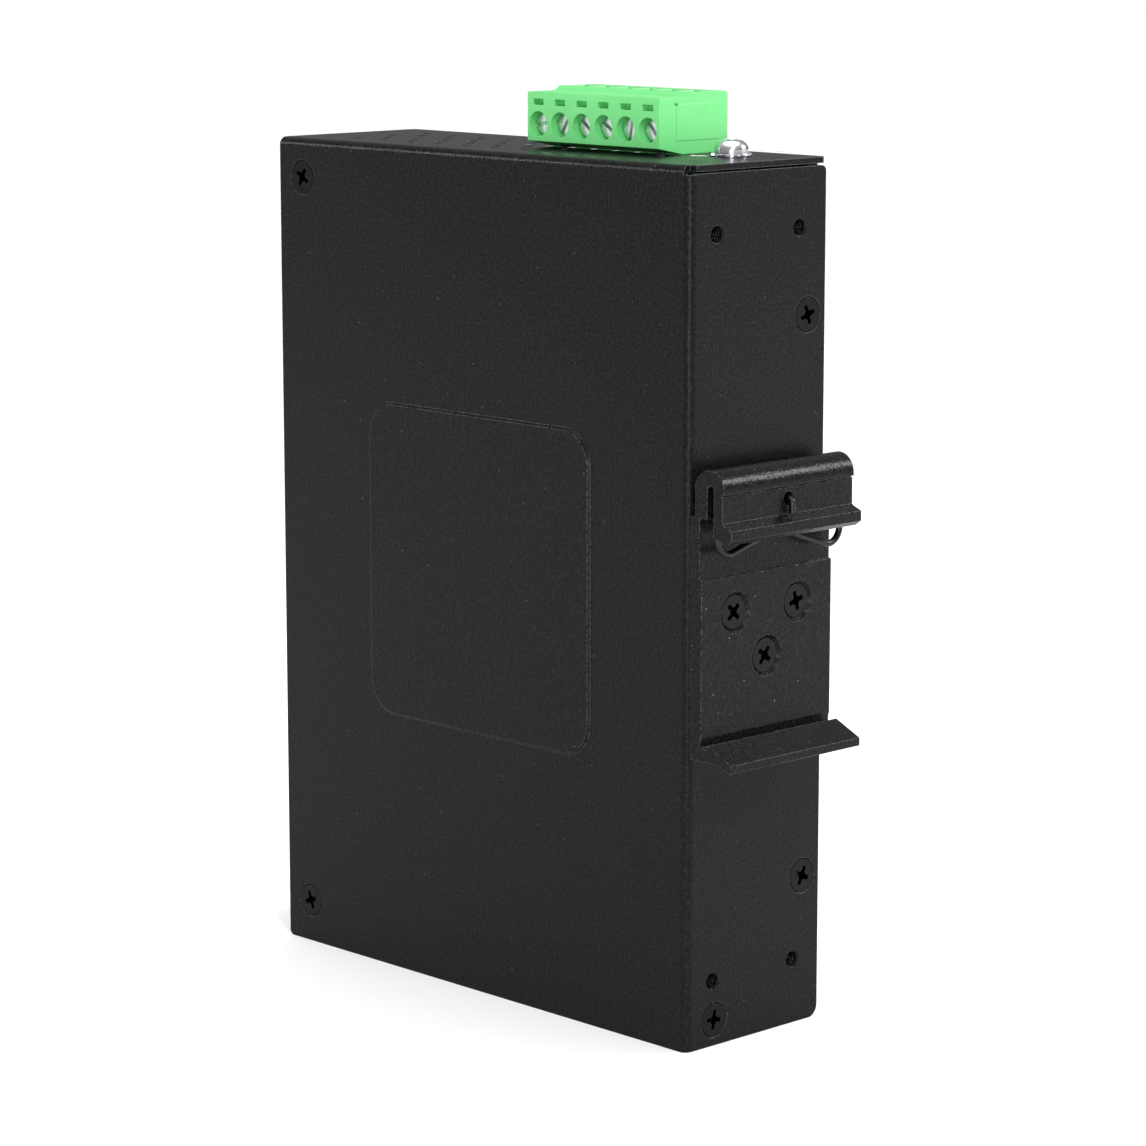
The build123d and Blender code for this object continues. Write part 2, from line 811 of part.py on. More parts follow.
with BuildPart() as terminal_plug:
    with BuildSketch(Plane.XZ.offset(-plug_y_low)):
        with BuildLine():
            Polyline(
                (plug_face_x, plug_base_z),
                (plug_face_x, plug_top_z),
                (crown_front_x, plug_top_z),
                (crown_front_x - crown_bevel, plug_crown_z),
                (plug_back_x + plug_bevel, plug_crown_z),
                (plug_back_x, plug_crown_z - plug_bevel),
                (plug_back_x, height + plug_back_bevel),
                (plug_neck_back_x, height + plug_seat_gap),
                (plug_neck_front_x, height + plug_seat_gap),
                close=True,
            )
        make_face()
    extrude(amount=-plug_length)
    with BuildSketch(Plane.XY.offset(plug_neck_base_z)):
        with Locations(((plug_neck_front_x + plug_neck_back_x) / 2, plug_middle_y)):
            Rectangle(plug_neck_front_x - plug_neck_back_x, neck_length)
    extrude(amount=height + plug_seat_gap - plug_neck_base_z)
    # Shallow pads on both ends
    for end_y, outward in ((plug_y_low, end_pad), (plug_y_low + plug_length, -end_pad)):
        with BuildSketch(Plane.XZ.offset(-end_y)):
            with BuildLine():
                Polyline(
                    (pad_front_x, plug_top_z - pad_margin),
                    (pad_back_x, plug_top_z - pad_margin),
                    (pad_foot_x, plug_base_z + pad_margin),
                    (pad_front_x, plug_base_z + pad_margin),
                    close=True,
                )
            make_face()
        extrude(amount=outward)
    with Locations(*[
        (pad_front_x, end_y, plug_top_z - pad_margin) for end_y in (plug_y_low, plug_y_low + plug_length)
    ]):
        Box(notch_width, 2 * notch_depth, notch_height, mode=Mode.SUBTRACT)
    for y in pole_places:
        # Screw hole, its step and the probe slot
        with Locations(facing_x(y, screw_hole_z, plug_face_x)):
            Cylinder(
                screw_hole_radius,
                plug_face_x - clamp_seat_x,
                align=(Align.CENTER, Align.CENTER, Align.MAX),
                mode=Mode.SUBTRACT,
            )
            Cylinder(
                clamp_radius + clamp_play,
                plug_face_x - cage_front_x,
                align=(Align.CENTER, Align.CENTER, Align.MAX),
                mode=Mode.SUBTRACT,
            )
        with Locations(facing_x(y, probe_z, plug_face_x)):
            Box(
                probe_width,
                probe_height,
                probe_depth,
                align=(Align.CENTER, Align.CENTER, Align.MAX),
                mode=Mode.SUBTRACT,
            )
        # Cage pocket, wire funnel and pin socket
        with Locations((cage_middle_x, y, cage_foot_z - cage_play)):
            Box(
                cage_depth + 2 * cage_play,
                cage_width + 2 * cage_play,
                cage_height + 2 * cage_play,
                align=(Align.CENTER, Align.CENTER, Align.MIN),
                mode=Mode.SUBTRACT,
            )
        with BuildSketch(Plane.XY.offset(plug_crown_z)):
            with Locations((cage_middle_x, y)):
                Rectangle(entry_mouth, entry_mouth)
        with BuildSketch(Plane.XY.offset(plug_crown_z - entry_taper_depth)):
            with Locations((cage_middle_x, y)):
                Rectangle(entry_throat, entry_throat)
        loft(mode=Mode.SUBTRACT)
        with Locations((cage_middle_x, y, plug_crown_z - entry_taper_depth)):
            Box(
                entry_throat,
                entry_throat,
                plug_crown_z - entry_taper_depth - cage_head_z,
                align=(Align.CENTER, Align.CENTER, Align.MAX),
                mode=Mode.SUBTRACT,
            )
        with Locations((pin_x, y, plug_neck_base_z)):
            Box(
                contact_depth + 2 * contact_play,
                contact_gap + 2 * contact_leg + 2 * contact_play,
                cage_foot_z - plug_neck_base_z,
                align=(Align.CENTER, Align.CENTER, Align.MIN),
                mode=Mode.SUBTRACT,
            )
terminal_plug.part.label = "terminal_plug"
export_step(terminal_plug.part, "parts/terminal_plug.step")

# Slotted clamp screws
with BuildPart() as terminal_screws:
    with Locations(*[facing_x(y, screw_hole_z, clamp_seat_x) for y in pole_places]):
        Cylinder(clamp_head_radius, clamp_head_height, align=(Align.CENTER, Align.CENTER, Align.MIN))
    chamfer(terminal_screws.faces().group_by(Axis.X)[-1].edges(), length=clamp_head_edge)
    with Locations(*[facing_x(y, screw_hole_z, clamp_seat_x) for y in pole_places]):
        Cylinder(
            clamp_radius,
            clamp_seat_x - cage_front_x + cage_wall,
            align=(Align.CENTER, Align.CENTER, Align.MAX),
        )
    for y, turn in zip(pole_places, clamp_slot_turns):
        with Locations(facing_x(y, screw_hole_z, clamp_seat_x + clamp_head_height)):
            Box(
                2 * clamp_head_radius,
                clamp_slot,
                clamp_slot_depth,
                rotation=(0, 0, turn),
                align=(Align.CENTER, Align.CENTER, Align.MAX),
                mode=Mode.SUBTRACT,
            )
terminal_screws.part.label = "terminal_screws"
export_step(terminal_screws.part, "parts/terminal_screws.step")

# Rising cages that the clamp screws pull up against the contacts
with BuildPart() as terminal_cages:
    with BuildSketch(Plane.XY.offset(cage_foot_z)):
        with Locations(*[(cage_middle_x, y) for y in pole_places]):
            Rectangle(cage_depth, cage_width)
            Rectangle(cage_depth - 2 * cage_wall, cage_width - 2 * cage_wall, mode=Mode.SUBTRACT)
    extrude(amount=cage_height)
    with Locations(*[facing_x(y, screw_hole_z, cage_front_x) for y in pole_places]):
        Cylinder(
            clamp_radius + thread_play,
            cage_wall,
            align=(Align.CENTER, Align.CENTER, Align.MAX),
            mode=Mode.SUBTRACT,
        )
terminal_cages.part.label = "terminal_cages"
export_step(terminal_cages.part, "parts/terminal_cages.step")

# Fork contacts: two legs grip the pin, a tongue runs up into the cage
fork_top_z = cage_foot_z - cage_play
tongue_x = cage_front_x - cage_wall - cage_play
with BuildPart() as plug_contacts:
    for y in pole_places:
        with BuildSketch(Plane.YZ.offset(pin_x - contact_depth / 2)):
            with Locations((y, fork_top_z)):
                Rectangle(contact_gap + 2 * contact_leg, contact_base, align=(Align.CENTER, Align.MAX))
            with Locations((y, plug_neck_base_z + contact_play)):
                Rectangle(
                    contact_gap + 2 * contact_leg,
                    fork_top_z - plug_neck_base_z - contact_play,
                    align=(Align.CENTER, Align.MIN),
                )
                Rectangle(
                    contact_gap,
                    fork_top_z - plug_neck_base_z - contact_play - contact_base,
                    align=(Align.CENTER, Align.MIN),
                    mode=Mode.SUBTRACT,
                )
        extrude(amount=contact_depth)
        with Locations((tongue_x, y, fork_top_z - contact_base)):
            Box(
                contact_tongue,
                contact_tongue_width,
                cage_height + contact_base,
                align=(Align.MAX, Align.CENTER, Align.MIN),
            )
plug_contacts.part.label = "plug_contacts"
export_step(plug_contacts.part, "parts/plug_contacts.step")

# Header on the board: open shroud with a keyed wall, and its bent pins
shroud_x = plug_neck_front_x - plug_neck_back_x + 2 * header_play
shroud_y = neck_length + 2 * header_play
shroud_back = board_face
shroud_front = plug_neck_front_x + header_play + header_wall
with BuildPart() as terminal_header:
    with BuildSketch(Plane.XY.offset(header_floor_z)):
        with Locations((shroud_back, plug_middle_y)):
            Rectangle(
                shroud_front - shroud_back,
                shroud_y + 2 * header_wall,
                align=(Align.MIN, Align.CENTER),
            )
    extrude(amount=top_under_z - header_rim_gap - header_floor_z)
    with BuildSketch(Plane.XY.offset(header_floor_z + header_floor)):
        with Locations(((plug_neck_front_x + plug_neck_back_x) / 2, plug_middle_y)):
            Rectangle(shroud_x, shroud_y)
    extrude(amount=height - header_floor_z, mode=Mode.SUBTRACT)
    with Locations(*[(pin_x, y, header_floor_z) for y in pole_places]):
        Box(
            pin_size + 2 * pin_hole_play,
            pin_size + 2 * pin_hole_play,
            header_floor,
            align=(Align.CENTER, Align.CENTER, Align.MIN),
            mode=Mode.SUBTRACT,
        )
    # Ribs that stiffen the front wall
    with Locations(*[(shroud_front, y, header_floor_z) for y in pole_places]):
        Box(
            header_rib_depth,
            header_rib,
            top_under_z - header_rim_gap - header_floor_z - header_rib,
            align=(Align.MIN, Align.CENTER, Align.MIN),
        )
terminal_header.part.label = "terminal_header"
export_step(terminal_header.part, "parts/terminal_header.step")

pin_top_z = fork_top_z - contact_base - pin_top_gap
with BuildPart() as header_pins:
    for y in pole_places:
        with BuildSketch(Plane.XZ.offset(-y + pin_size / 2)):
            with BuildLine():
                FilletPolyline(
                    (pin_x, pin_top_z),
                    (pin_x, pin_bend_z),
                    (board_back - pin_tail, pin_bend_z),
                    radius=pin_size,
                )
                offset(amount=pin_size / 2, side=Side.BOTH)
            make_face()
        extrude(amount=-pin_size)
header_pins.part.label = "header_pins"
export_step(header_pins.part, "parts/header_pins.step")

# Main board with its fixings
board_low_y = -y_out + board_front_gap
board_high_y = y_out - board_rear_gap
fixings = [(y, z) for y in fixing_y for z in fixing_z]
with BuildPart() as main_board:
    with BuildSketch(Plane.YZ.offset(board_back)):
        with Locations((board_low_y, board_foot_z)):
            Rectangle(
                board_high_y - board_low_y,
                board_top_z - board_foot_z,
                align=(Align.MIN, Align.MIN),
            )
        with Locations(*fixings):
            Circle(fixing_hole_radius, mode=Mode.SUBTRACT)
        with Locations(*[(y, pin_bend_z) for y in pole_places]):
            Circle(pin_hole_radius, mode=Mode.SUBTRACT)
    extrude(amount=board_thickness)
main_board.part.label = "main_board"
export_step(main_board.part, "parts/main_board.step")

with BuildPart() as board_standoffs:
    with BuildSketch(Plane.YZ.offset(-x_in)):
        with Locations(*fixings):
            RegularPolygon(standoff_radius, 6)
            Circle(thread_radius + thread_play, mode=Mode.SUBTRACT)
    extrude(amount=standoff_height)
board_standoffs.part.label = "board_standoffs"
export_step(board_standoffs.part, "parts/board_standoffs.step")

with BuildPart() as board_screws:
    with Locations(*[on_board(y, z) for y, z in fixings]):
        add(pan_head_screw(board_screw_length - thread_play, board_screw_turn))
board_screws.part.label = "board_screws"
export_step(board_screws.part, "parts/board_screws.step")

# Port jacks: moulded body with a keyed cavity, drawn shield, contact wires
jack_top = board_face + jack_rise
cavity_top = jack_top - cavity_top_wall
cavity_foot = cavity_top - cavity_height
jack_back = -y_out + jack_depth - shield_wall - shield_play
window_z = jack_width / 2 - window_inset - window_width / 2
window_x = jack_top - window_inset - window_height / 2
cavity_back = -y_out + cavity_depth


def jack_body(z):
    """Moulded insert of one port, its cavity open at the front wall."""
    with BuildPart() as body:
        with BuildSketch(Plane.XZ.offset(y_out)):
            with Locations((board_face, z)):
                Rectangle(jack_rise, jack_width, align=(Align.MIN, Align.CENTER))
        extrude(amount=-(jack_back + y_out))
        with BuildSketch(Plane.XZ.offset(y_out)):
            with Locations((cavity_top, z)):
                Rectangle(cavity_height, cavity_width, align=(Align.MAX, Align.CENTER))
            with Locations((cavity_foot, z)):
                Rectangle(latch_height, latch_width, align=(Align.MAX, Align.CENTER))
        extrude(amount=-cavity_depth, mode=Mode.SUBTRACT)
        with BuildSketch(Plane.XZ.offset(y_out)):
            with Locations((cavity_foot - latch_height, z)):
                Rectangle(latch_slot_height, latch_slot_width, align=(Align.MAX, Align.CENTER))
        extrude(amount=-latch_slot_depth, mode=Mode.SUBTRACT)
        with BuildSketch(Plane.XZ.offset(y_out)):
            with Locations((window_x, z - window_z), (window_x, z + window_z)):
                Rectangle(window_height, window_width)
        extrude(amount=-window_depth, mode=Mode.SUBTRACT)
    return body.part


def jack_shield(z):
    """Drawn metal shell that wraps one port body, open at the front and at the board."""
    outside = jack_width + 2 * (shield_wall + shield_play)
    with BuildPart() as shell:
        with BuildSketch(Plane.XZ.offset(y_out)):
            with Locations((board_face, z)):
                Rectangle(
                    jack_rise + shield_play + shield_wall,
                    outside,
                    align=(Align.MIN, Align.CENTER),
                )
        extrude(amount=-jack_depth)
        upright = shell.edges().filter_by(Axis.Y).group_by(Axis.X)[-1]
        fillet(upright, radius=2 * shield_wall)
        with BuildSketch(Plane.XZ.offset(y_out)):
            with Locations((board_face, z)):
                Rectangle(
                    jack_rise + shield_play,
                    outside - 2 * shield_wall,
                    align=(Align.MIN, Align.CENTER),
                )
        extrude(amount=-(jack_depth - shield_wall), mode=Mode.SUBTRACT)
    return shell.part


for number, z in enumerate(port_heights, start=1):
    body = jack_body(z)
    body.label = f"rj45_body_{number}"
    export_step(body, f"parts/rj45_body_{number}.step")
    shield = jack_shield(z)
    shield.label = f"rj45_shield_{number}"
    export_step(shield, f"parts/rj45_shield_{number}.step")

wire_offsets = [(i - (contact_count - 1) / 2) * contact_pitch for i in range(contact_count)]
with BuildPart() as rj45_contacts:
    for z in port_heights:
        for shift in wire_offsets:
            with BuildSketch(Plane.XY.offset(z + shift - contact_wire / 2)):
                with BuildLine():
                    Polyline(
                        (cavity_top - contact_wire, cavity_back - contact_wire),
                        (cavity_top - contact_wire, -y_out + contact_setback),
                        (cavity_top - contact_dip, cavity_back - contact_tip),
                    )
                    offset(amount=contact_wire / 2, side=Side.BOTH)
                make_face()
            extrude(amount=contact_wire)
rj45_contacts.part.label = "rj45_contacts"
export_step(rj45_contacts.part, "parts/rj45_contacts.step")

with BuildPart() as port_lamps:
    with BuildSketch(Plane.XZ.offset(y_out)):
        for z in port_heights:
            with Locations((window_x, z - window_z), (window_x, z + window_z)):
                Rectangle(window_height - 2 * window_play, window_width - 2 * window_play)
    extrude(amount=-window_depth + window_play)
port_lamps.part.label = "port_lamps"
export_step(port_lamps.part, "parts/port_lamps.step")

# Status lamps in a holder that stands on the board
with BuildPart() as status_lamps:
    with Locations(*[
        Plane((board_face + lamp_rise, -y_out - lamp_proud, z), x_dir=(1, 0, 0), z_dir=(0, -1, 0))
        for z in lamp_heights
    ]):
        Cylinder(lamp_radius, lamp_length, align=(Align.CENTER, Align.CENTER, Align.MAX))
    fillet(status_lamps.faces().group_by(Axis.Y)[0].edges(), radius=lamp_round)
status_lamps.part.label = "status_lamps"
export_step(status_lamps.part, "parts/status_lamps.step")

with BuildPart() as lamp_holder:
    with BuildSketch(Plane.XZ.offset(y_in - holder_gap)):
        with Locations((board_face, (lamp_heights[0] + lamp_heights[-1]) / 2)):
            Rectangle(
                holder_rise,
                lamp_heights[-1] - lamp_heights[0] + 2 * holder_margin,
                align=(Align.MIN, Align.CENTER),
            )
        with Locations(*[(board_face + lamp_rise, z) for z in lamp_heights]):
            Circle(lamp_radius + window_play, mode=Mode.SUBTRACT)
    extrude(amount=-holder_depth)
lamp_holder.part.label = "lamp_holder"
export_step(lamp_holder.part, "parts/lamp_holder.step")

# Line transformers behind the ports, with rows of leads
for number, z in enumerate(port_heights, start=1):
    with BuildPart() as line_transformer:
        with Locations(on_board(transformer_y, z)):
            Box(
                transformer_depth,
                transformer_width,
                transformer_rise,
                align=(Align.CENTER, Align.CENTER, Align.MIN),
            )
        tops = line_transformer.faces().sort_by(Axis.X)[-1]
        chamfer(tops.edges(), length=transformer_bevel)
        with Locations(on_board(transformer_y, z)):
            with GridLocations(transformer_depth + lead_reach, lead_pitch, 2, lead_count):
                Box(lead_reach, lead_width, lead_rise, align=(Align.CENTER, Align.CENTER, Align.MIN))
    line_transformer.part.label = f"line_transformer_{number}"
    export_step(line_transformer.part, f"parts/line_transformer_{number}.step")

# Switch chip, its pad and its heat sink
chip_y, chip_z = chip_place
with BuildPart() as switch_chip:
    with Locations(on_board(chip_y, chip_z)):
        Box(chip_size, chip_size, chip_rise, align=(Align.CENTER, Align.CENTER, Align.MIN))
    chamfer(switch_chip.faces().sort_by(Axis.X)[-1].edges(), length=chip_bevel)
switch_chip.part.label = "switch_chip"
export_step(switch_chip.part, "parts/switch_chip.step")

with BuildPart() as thermal_pad:
    with Locations(on_board(chip_y, chip_z).offset(chip_rise)):
        Box(
            chip_size - 2 * pad_inset,
            chip_size - 2 * pad_inset,
            pad_thickness,
            align=(Align.CENTER, Align.CENTER, Align.MIN),
        )
thermal_pad.part.label = "thermal_pad"
export_step(thermal_pad.part, "parts/thermal_pad.step")

fin_pitch = (sink_size - fin_thickness) / (fin_count - 1)
with BuildPart() as heat_sink:
    with Locations(on_board(chip_y, chip_z).offset(chip_rise + pad_thickness)):
        Box(sink_size, sink_size, sink_base, align=(Align.CENTER, Align.CENTER, Align.MIN))
    with Locations(on_board(chip_y, chip_z).offset(chip_rise + pad_thickness + sink_base)):
        with GridLocations(fin_pitch, 0, fin_count, 1):
            Box(fin_thickness, sink_size, fin_rise, align=(Align.CENTER, Align.CENTER, Align.MIN))
heat_sink.part.label = "heat_sink"
export_step(heat_sink.part, "parts/heat_sink.step")


def chip_block(place, length, wide, rise, bevel):
    """Moulded component that stands on the board, bevelled at its top."""
    with BuildPart() as block:
        with Locations(on_board(*place)):
            Box(length, wide, rise, align=(Align.CENTER, Align.CENTER, Align.MIN))
        chamfer(block.faces().sort_by(Axis.X)[-1].edges(), length=bevel)
    return block.part


def coil_block(place):
    """Shielded power inductor: square ferrite with a round dish over its core."""
    with BuildPart() as coil:
        with Locations(on_board(*place)):
            Box(
                inductor_size,
                inductor_size,
                inductor_rise,
                align=(Align.CENTER, Align.CENTER, Align.MIN),
            )
        fillet(coil.edges().filter_by(Axis.X), radius=inductor_corner)
        with Locations(on_board(*place).offset(inductor_rise)):
            CounterBoreHole(
                inductor_bore_radius,
                inductor_dish_radius,
                inductor_dish_depth,
                depth=inductor_bore_depth,
            )
    return coil.part


def input_capacitor(place):
    """Sleeved can with a beaded foot and a scored vent on its top."""
    with BuildPart() as can:
        with Locations(on_board(*place)):
            Cylinder(can_radius, can_rise, align=(Align.CENTER, Align.CENTER, Align.MIN))
        fillet(can.faces().sort_by(Axis.X)[-1].edges(), radius=can_round)
        with Locations(on_board(*place).offset(can_rise)):
            Box(score_length, score_width, 2 * score_depth, mode=Mode.SUBTRACT)
            Box(score_width, score_length, 2 * score_depth, mode=Mode.SUBTRACT)
    return can.part


components = {
    "power_controller": chip_block(controller_place, *controller_size),
    "clock_crystal": chip_block(crystal_place, *crystal_size),
    "rectifier": chip_block(rectifier_place, *rectifier_size),
    "fuse": chip_block(fuse_place, *fuse_size),
    "alarm_relay": chip_block(relay_place, *relay_size),
    "power_inductor_1": coil_block(inductor_places[0]),
    "power_inductor_2": coil_block(inductor_places[1]),
}
for number, place in enumerate(capacitor_places, start=1):
    components[f"input_capacitor_{number}"] = input_capacitor(place)
for name, component in components.items():
    component.label = name
    export_step(component, f"parts/{name}.step")

# Power transformer: E core around a wound former
core_y, core_z = core_place
with BuildPart() as transformer_core:
    with Locations(on_board(core_y, core_z).offset(core_rise_from)):
        Box(core_length, core_width, core_rise, align=(Align.CENTER, Align.CENTER, Align.MIN))
        with GridLocations(0, core_window + core_limb, 1, 2):
            Box(
                core_length - 2 * core_limb,
                core_window,
                core_rise,
                align=(Align.CENTER, Align.CENTER, Align.MIN),
                mode=Mode.SUBTRACT,
            )
transformer_core.part.label = "transformer_core"
export_step(transformer_core.part, "parts/transformer_core.step")

with BuildPart() as transformer_coil:
    with Locations(on_board(core_y, core_z)):
        Box(
            core_length - 2 * core_limb - 2 * coil_play,
            core_limb + 2 * (core_window - coil_play),
            core_rise + 2 * core_rise_from,
            align=(Align.CENTER, Align.CENTER, Align.MIN),
        )
    fillet(transformer_coil.edges().filter_by(Axis.X), radius=coil_corner)
    with Locations(on_board(core_y, core_z).offset(core_rise_from - coil_play)):
        Box(
            core_length,
            core_limb + 2 * coil_play,
            core_rise + 2 * coil_play,
            align=(Align.CENTER, Align.CENTER, Align.MIN),
            mode=Mode.SUBTRACT,
        )
transformer_coil.part.label = "transformer_coil"
export_step(transformer_coil.part, "parts/transformer_coil.step")

# Disc surge arresters beside the power header
with BuildPart() as surge_arresters:
    with Locations(*[
        Plane((board_face + arrester_radius, y, arrester_z), z_dir=(0, 0, 1)) for y in arrester_places
    ]):
        Cylinder(arrester_radius, arrester_thickness)
    fillet(surge_arresters.edges(), radius=arrester_round)
surge_arresters.part.label = "surge_arresters"
export_step(surge_arresters.part, "parts/surge_arresters.step")
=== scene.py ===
import logging
import math
from dataclasses import dataclass, field
from enum import Enum
from typing import Any, Iterable, Mapping, Sequence

import bmesh
import bpy
from mathutils import Matrix, Vector


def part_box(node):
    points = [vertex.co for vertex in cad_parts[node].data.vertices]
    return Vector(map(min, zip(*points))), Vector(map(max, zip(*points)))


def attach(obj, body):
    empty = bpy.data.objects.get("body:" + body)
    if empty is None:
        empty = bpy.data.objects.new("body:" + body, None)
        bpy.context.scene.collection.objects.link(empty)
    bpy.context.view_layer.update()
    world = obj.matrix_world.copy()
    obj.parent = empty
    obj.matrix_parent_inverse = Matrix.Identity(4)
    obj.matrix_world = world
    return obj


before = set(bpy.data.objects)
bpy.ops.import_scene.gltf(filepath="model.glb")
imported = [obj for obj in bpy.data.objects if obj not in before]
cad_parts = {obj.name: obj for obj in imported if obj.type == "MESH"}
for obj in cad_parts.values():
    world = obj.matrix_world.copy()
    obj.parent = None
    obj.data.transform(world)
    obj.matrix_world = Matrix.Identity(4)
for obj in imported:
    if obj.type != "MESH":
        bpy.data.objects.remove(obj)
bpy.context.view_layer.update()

LOG = logging.getLogger("network_switch")
MM = 0.001
Colour = tuple[float, float, float, float]


class Body(Enum):
    """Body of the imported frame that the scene's own pieces ride on."""

    HOUSING = "housing"


class Wall(Enum):
    """Walls of the housing that take print, with the way the print faces and its upright."""

    TOP = ((0, 0, 1), (-1, 0, 0))
    FRONT = ((0, -1, 0), (0, 0, 1))


def linear(hex_colour: str) -> Colour:
    """Turns an sRGB hex colour to linear light.

    Args:
        hex_colour: colour as "#rrggbb".

    Returns:
        Red, green, blue and an alpha of one.
    """
    channels = [int(hex_colour[i : i + 2], 16) / 255 for i in (1, 3, 5)]
    toe, slope, gamma, lift = 0.04045, 12.92, 2.4, 0.055
    r, g, b = [c / slope if c <= toe else ((c + lift) / (1 + lift)) ** gamma for c in channels]
    return (r, g, b, 1.0)


def per_metre(size_mm: float) -> float:
    """Scale of a texture whose features are size_mm apart."""
    return 1 / (size_mm * MM)


def add_node(
    tree: bpy.types.NodeTree,
    kind: str,
    inputs: Mapping[str | int, Any] | None = None,
    **settings: Any,
) -> bpy.types.Node:
    """Adds a shader node, sets it and links it.

    Args:
        tree: node tree that gets the node.
        kind: type of the node, without the word ShaderNode.
        inputs: each input's name or number, with its value or the output that feeds it.
        **settings: the node's own properties.

    Returns:
        The new node.
    """
    node = tree.nodes.new("ShaderNode" + kind)
    for name, value in settings.items():
        setattr(node, name, value)
    for key, value in (inputs or {}).items():
        if isinstance(value, bpy.types.NodeSocket):
            tree.links.new(value, node.inputs[key])
        else:
            node.inputs[key].default_value = value
    return node


def mixed(
    tree: bpy.types.NodeTree,
    share: bpy.types.NodeSocket,
    under: Colour | bpy.types.NodeSocket,
    over: Colour | bpy.types.NodeSocket,
) -> bpy.types.NodeSocket:
    """Mixes two colours.

    Args:
        tree: the material's node tree.
        share: share of the second colour, from 0 to 1.
        under: first colour.
        over: second colour.

    Returns:
        The mixed colour.
    """
    factor, first, second, result = 0, 6, 7, 2
    inputs = {factor: share, first: under, second: over}
    return add_node(tree, "Mix", inputs, data_type="RGBA").outputs[result]


def ramp(
    tree: bpy.types.NodeTree, value: bpy.types.NodeSocket, span: tuple[float, float]
) -> bpy.types.NodeSocket:
    """Stretches a part of a value's range over 0 to 1.

    Args:
        tree: the material's node tree.
        value: the value.
        span: what becomes 0 and what becomes 1.

    Returns:
        The stretched value, held between 0 and 1.
    """
    low, high = span
    inputs = {"Value": value, "From Min": low, "From Max": high}
    return add_node(tree, "MapRange", inputs).outputs["Result"]


@dataclass(frozen=True)
class Finish:
    """A real material, with the sizes of what its surface shows.

    A finish mixes a second colour in by a slow cloud, spreads its roughness by a grain and
    raises that grain a little. A subclass adds what its own making leaves on the surface.
    """

    name: str
    colour: str
    shade: str
    roughness: float
    roughness_spread: float = 0.08
    metallic: float = 0.0
    ior: float = 1.5
    specular: float = 0.5
    grain_mm: float = 0.3
    grain_height_mm: float = 0.004
    cloud_mm: float = 12.0
    edge_mm: float = 0.12

    def build(self) -> bpy.types.Material:
        """Makes the material.

        Returns:
            The new material, with its nodes.
        """
        material = bpy.data.materials.new(self.name)
        material.use_nodes = True
        tree = material.node_tree
        tree.nodes.clear()
        place = add_node(tree, "TexCoord").outputs["Object"]
        shader = add_node(tree, "BsdfPrincipled")
        shader.inputs["Metallic"].default_value = self.metallic
        shader.inputs["Specular IOR Level"].default_value = self.specular
        if not self.metallic:
            shader.inputs["IOR"].default_value = self.ior
        self.dress(tree, place, shader)
        add_node(tree, "OutputMaterial", {"Surface": shader.outputs["BSDF"]})
        return material

    def dress(
        self,
        tree: bpy.types.NodeTree,
        place: bpy.types.NodeSocket,
        shader: bpy.types.Node,
    ) -> None:
        """Feeds colour, roughness and bump.

        Args:
            tree: the material's node tree.
            place: position on the part, in metres.
            shader: the surface shader.
        """
        grain = self.noise(tree, place, self.grain_mm, 3.0)
        tree.links.new(self.clouded(tree, place), shader.inputs["Base Color"])
        tree.links.new(self.spread(tree, grain), shader.inputs["Roughness"])
        tree.links.new(self.raised(tree, grain, self.grain_height_mm), shader.inputs["Normal"])

    def noise(
        self,
        tree: bpy.types.NodeTree,
        place: bpy.types.NodeSocket,
        size_mm: float,
        detail: float,
    ) -> bpy.types.NodeSocket:
        """Cloud of values from 0 to 1 with features size_mm apart.

        Args:
            tree: the material's node tree.
            place: position that the cloud is read at.
            size_mm: distance between features.
            detail: octaves of finer cloud.

        Returns:
            The cloud's value.
        """
        inputs = {"Vector": place, "Scale": per_metre(size_mm), "Detail": detail}
        return add_node(tree, "TexNoise", inputs).outputs["Fac"]

    def clouded(
        self, tree: bpy.types.NodeTree, place: bpy.types.NodeSocket
    ) -> bpy.types.NodeSocket:
        """Colour that drifts between the finish's two colours.

        Args:
            tree: the material's node tree.
            place: position on the part.

        Returns:
            The mixed colour.
        """
        cloud = self.noise(tree, place, self.cloud_mm, 2.0)
        return mixed(tree, cloud, linear(self.colour), linear(self.shade))

    def spread(
        self, tree: bpy.types.NodeTree, value: bpy.types.NodeSocket
    ) -> bpy.types.NodeSocket:
        """Roughness about the finish's own, from a value of 0 to 1.

        Args:
            tree: the material's node tree.
            value: the pattern that spreads it.

        Returns:
            The roughness.
        """
        inputs = {
            "Value": value,
            "To Min": self.roughness - self.roughness_spread,
            "To Max": self.roughness + self.roughness_spread,
        }
        return add_node(tree, "MapRange", inputs).outputs["Result"]

    def raised(
        self,
        tree: bpy.types.NodeTree,
        height: bpy.types.NodeSocket,
        height_mm: float,
        below: bpy.types.NodeSocket | None = None,
    ) -> bpy.types.NodeSocket:
        """Normal of a relief that lies over the softened edges.

        Args:
            tree: the material's node tree.
            height: relief from 0 to 1.
            height_mm: its height.
            below: normal of a coarser relief under it, or none for the bare edges.

        Returns:
            The normal.
        """
        if below is None:
            below = self.softened(tree)
        inputs = {"Height": height, "Distance": height_mm * MM, "Normal": below}
        return add_node(tree, "Bump", inputs).outputs["Normal"]

    def softened(self, tree: bpy.types.NodeTree) -> bpy.types.NodeSocket:
        """Normal that rounds the edges by edge_mm.

        Args:
            tree: the material's node tree.

        Returns:
            The normal.
        """
        samples = 6
        edges = add_node(tree, "Bevel", {"Radius": self.edge_mm * MM}, samples=samples)
        return edges.outputs["Normal"]


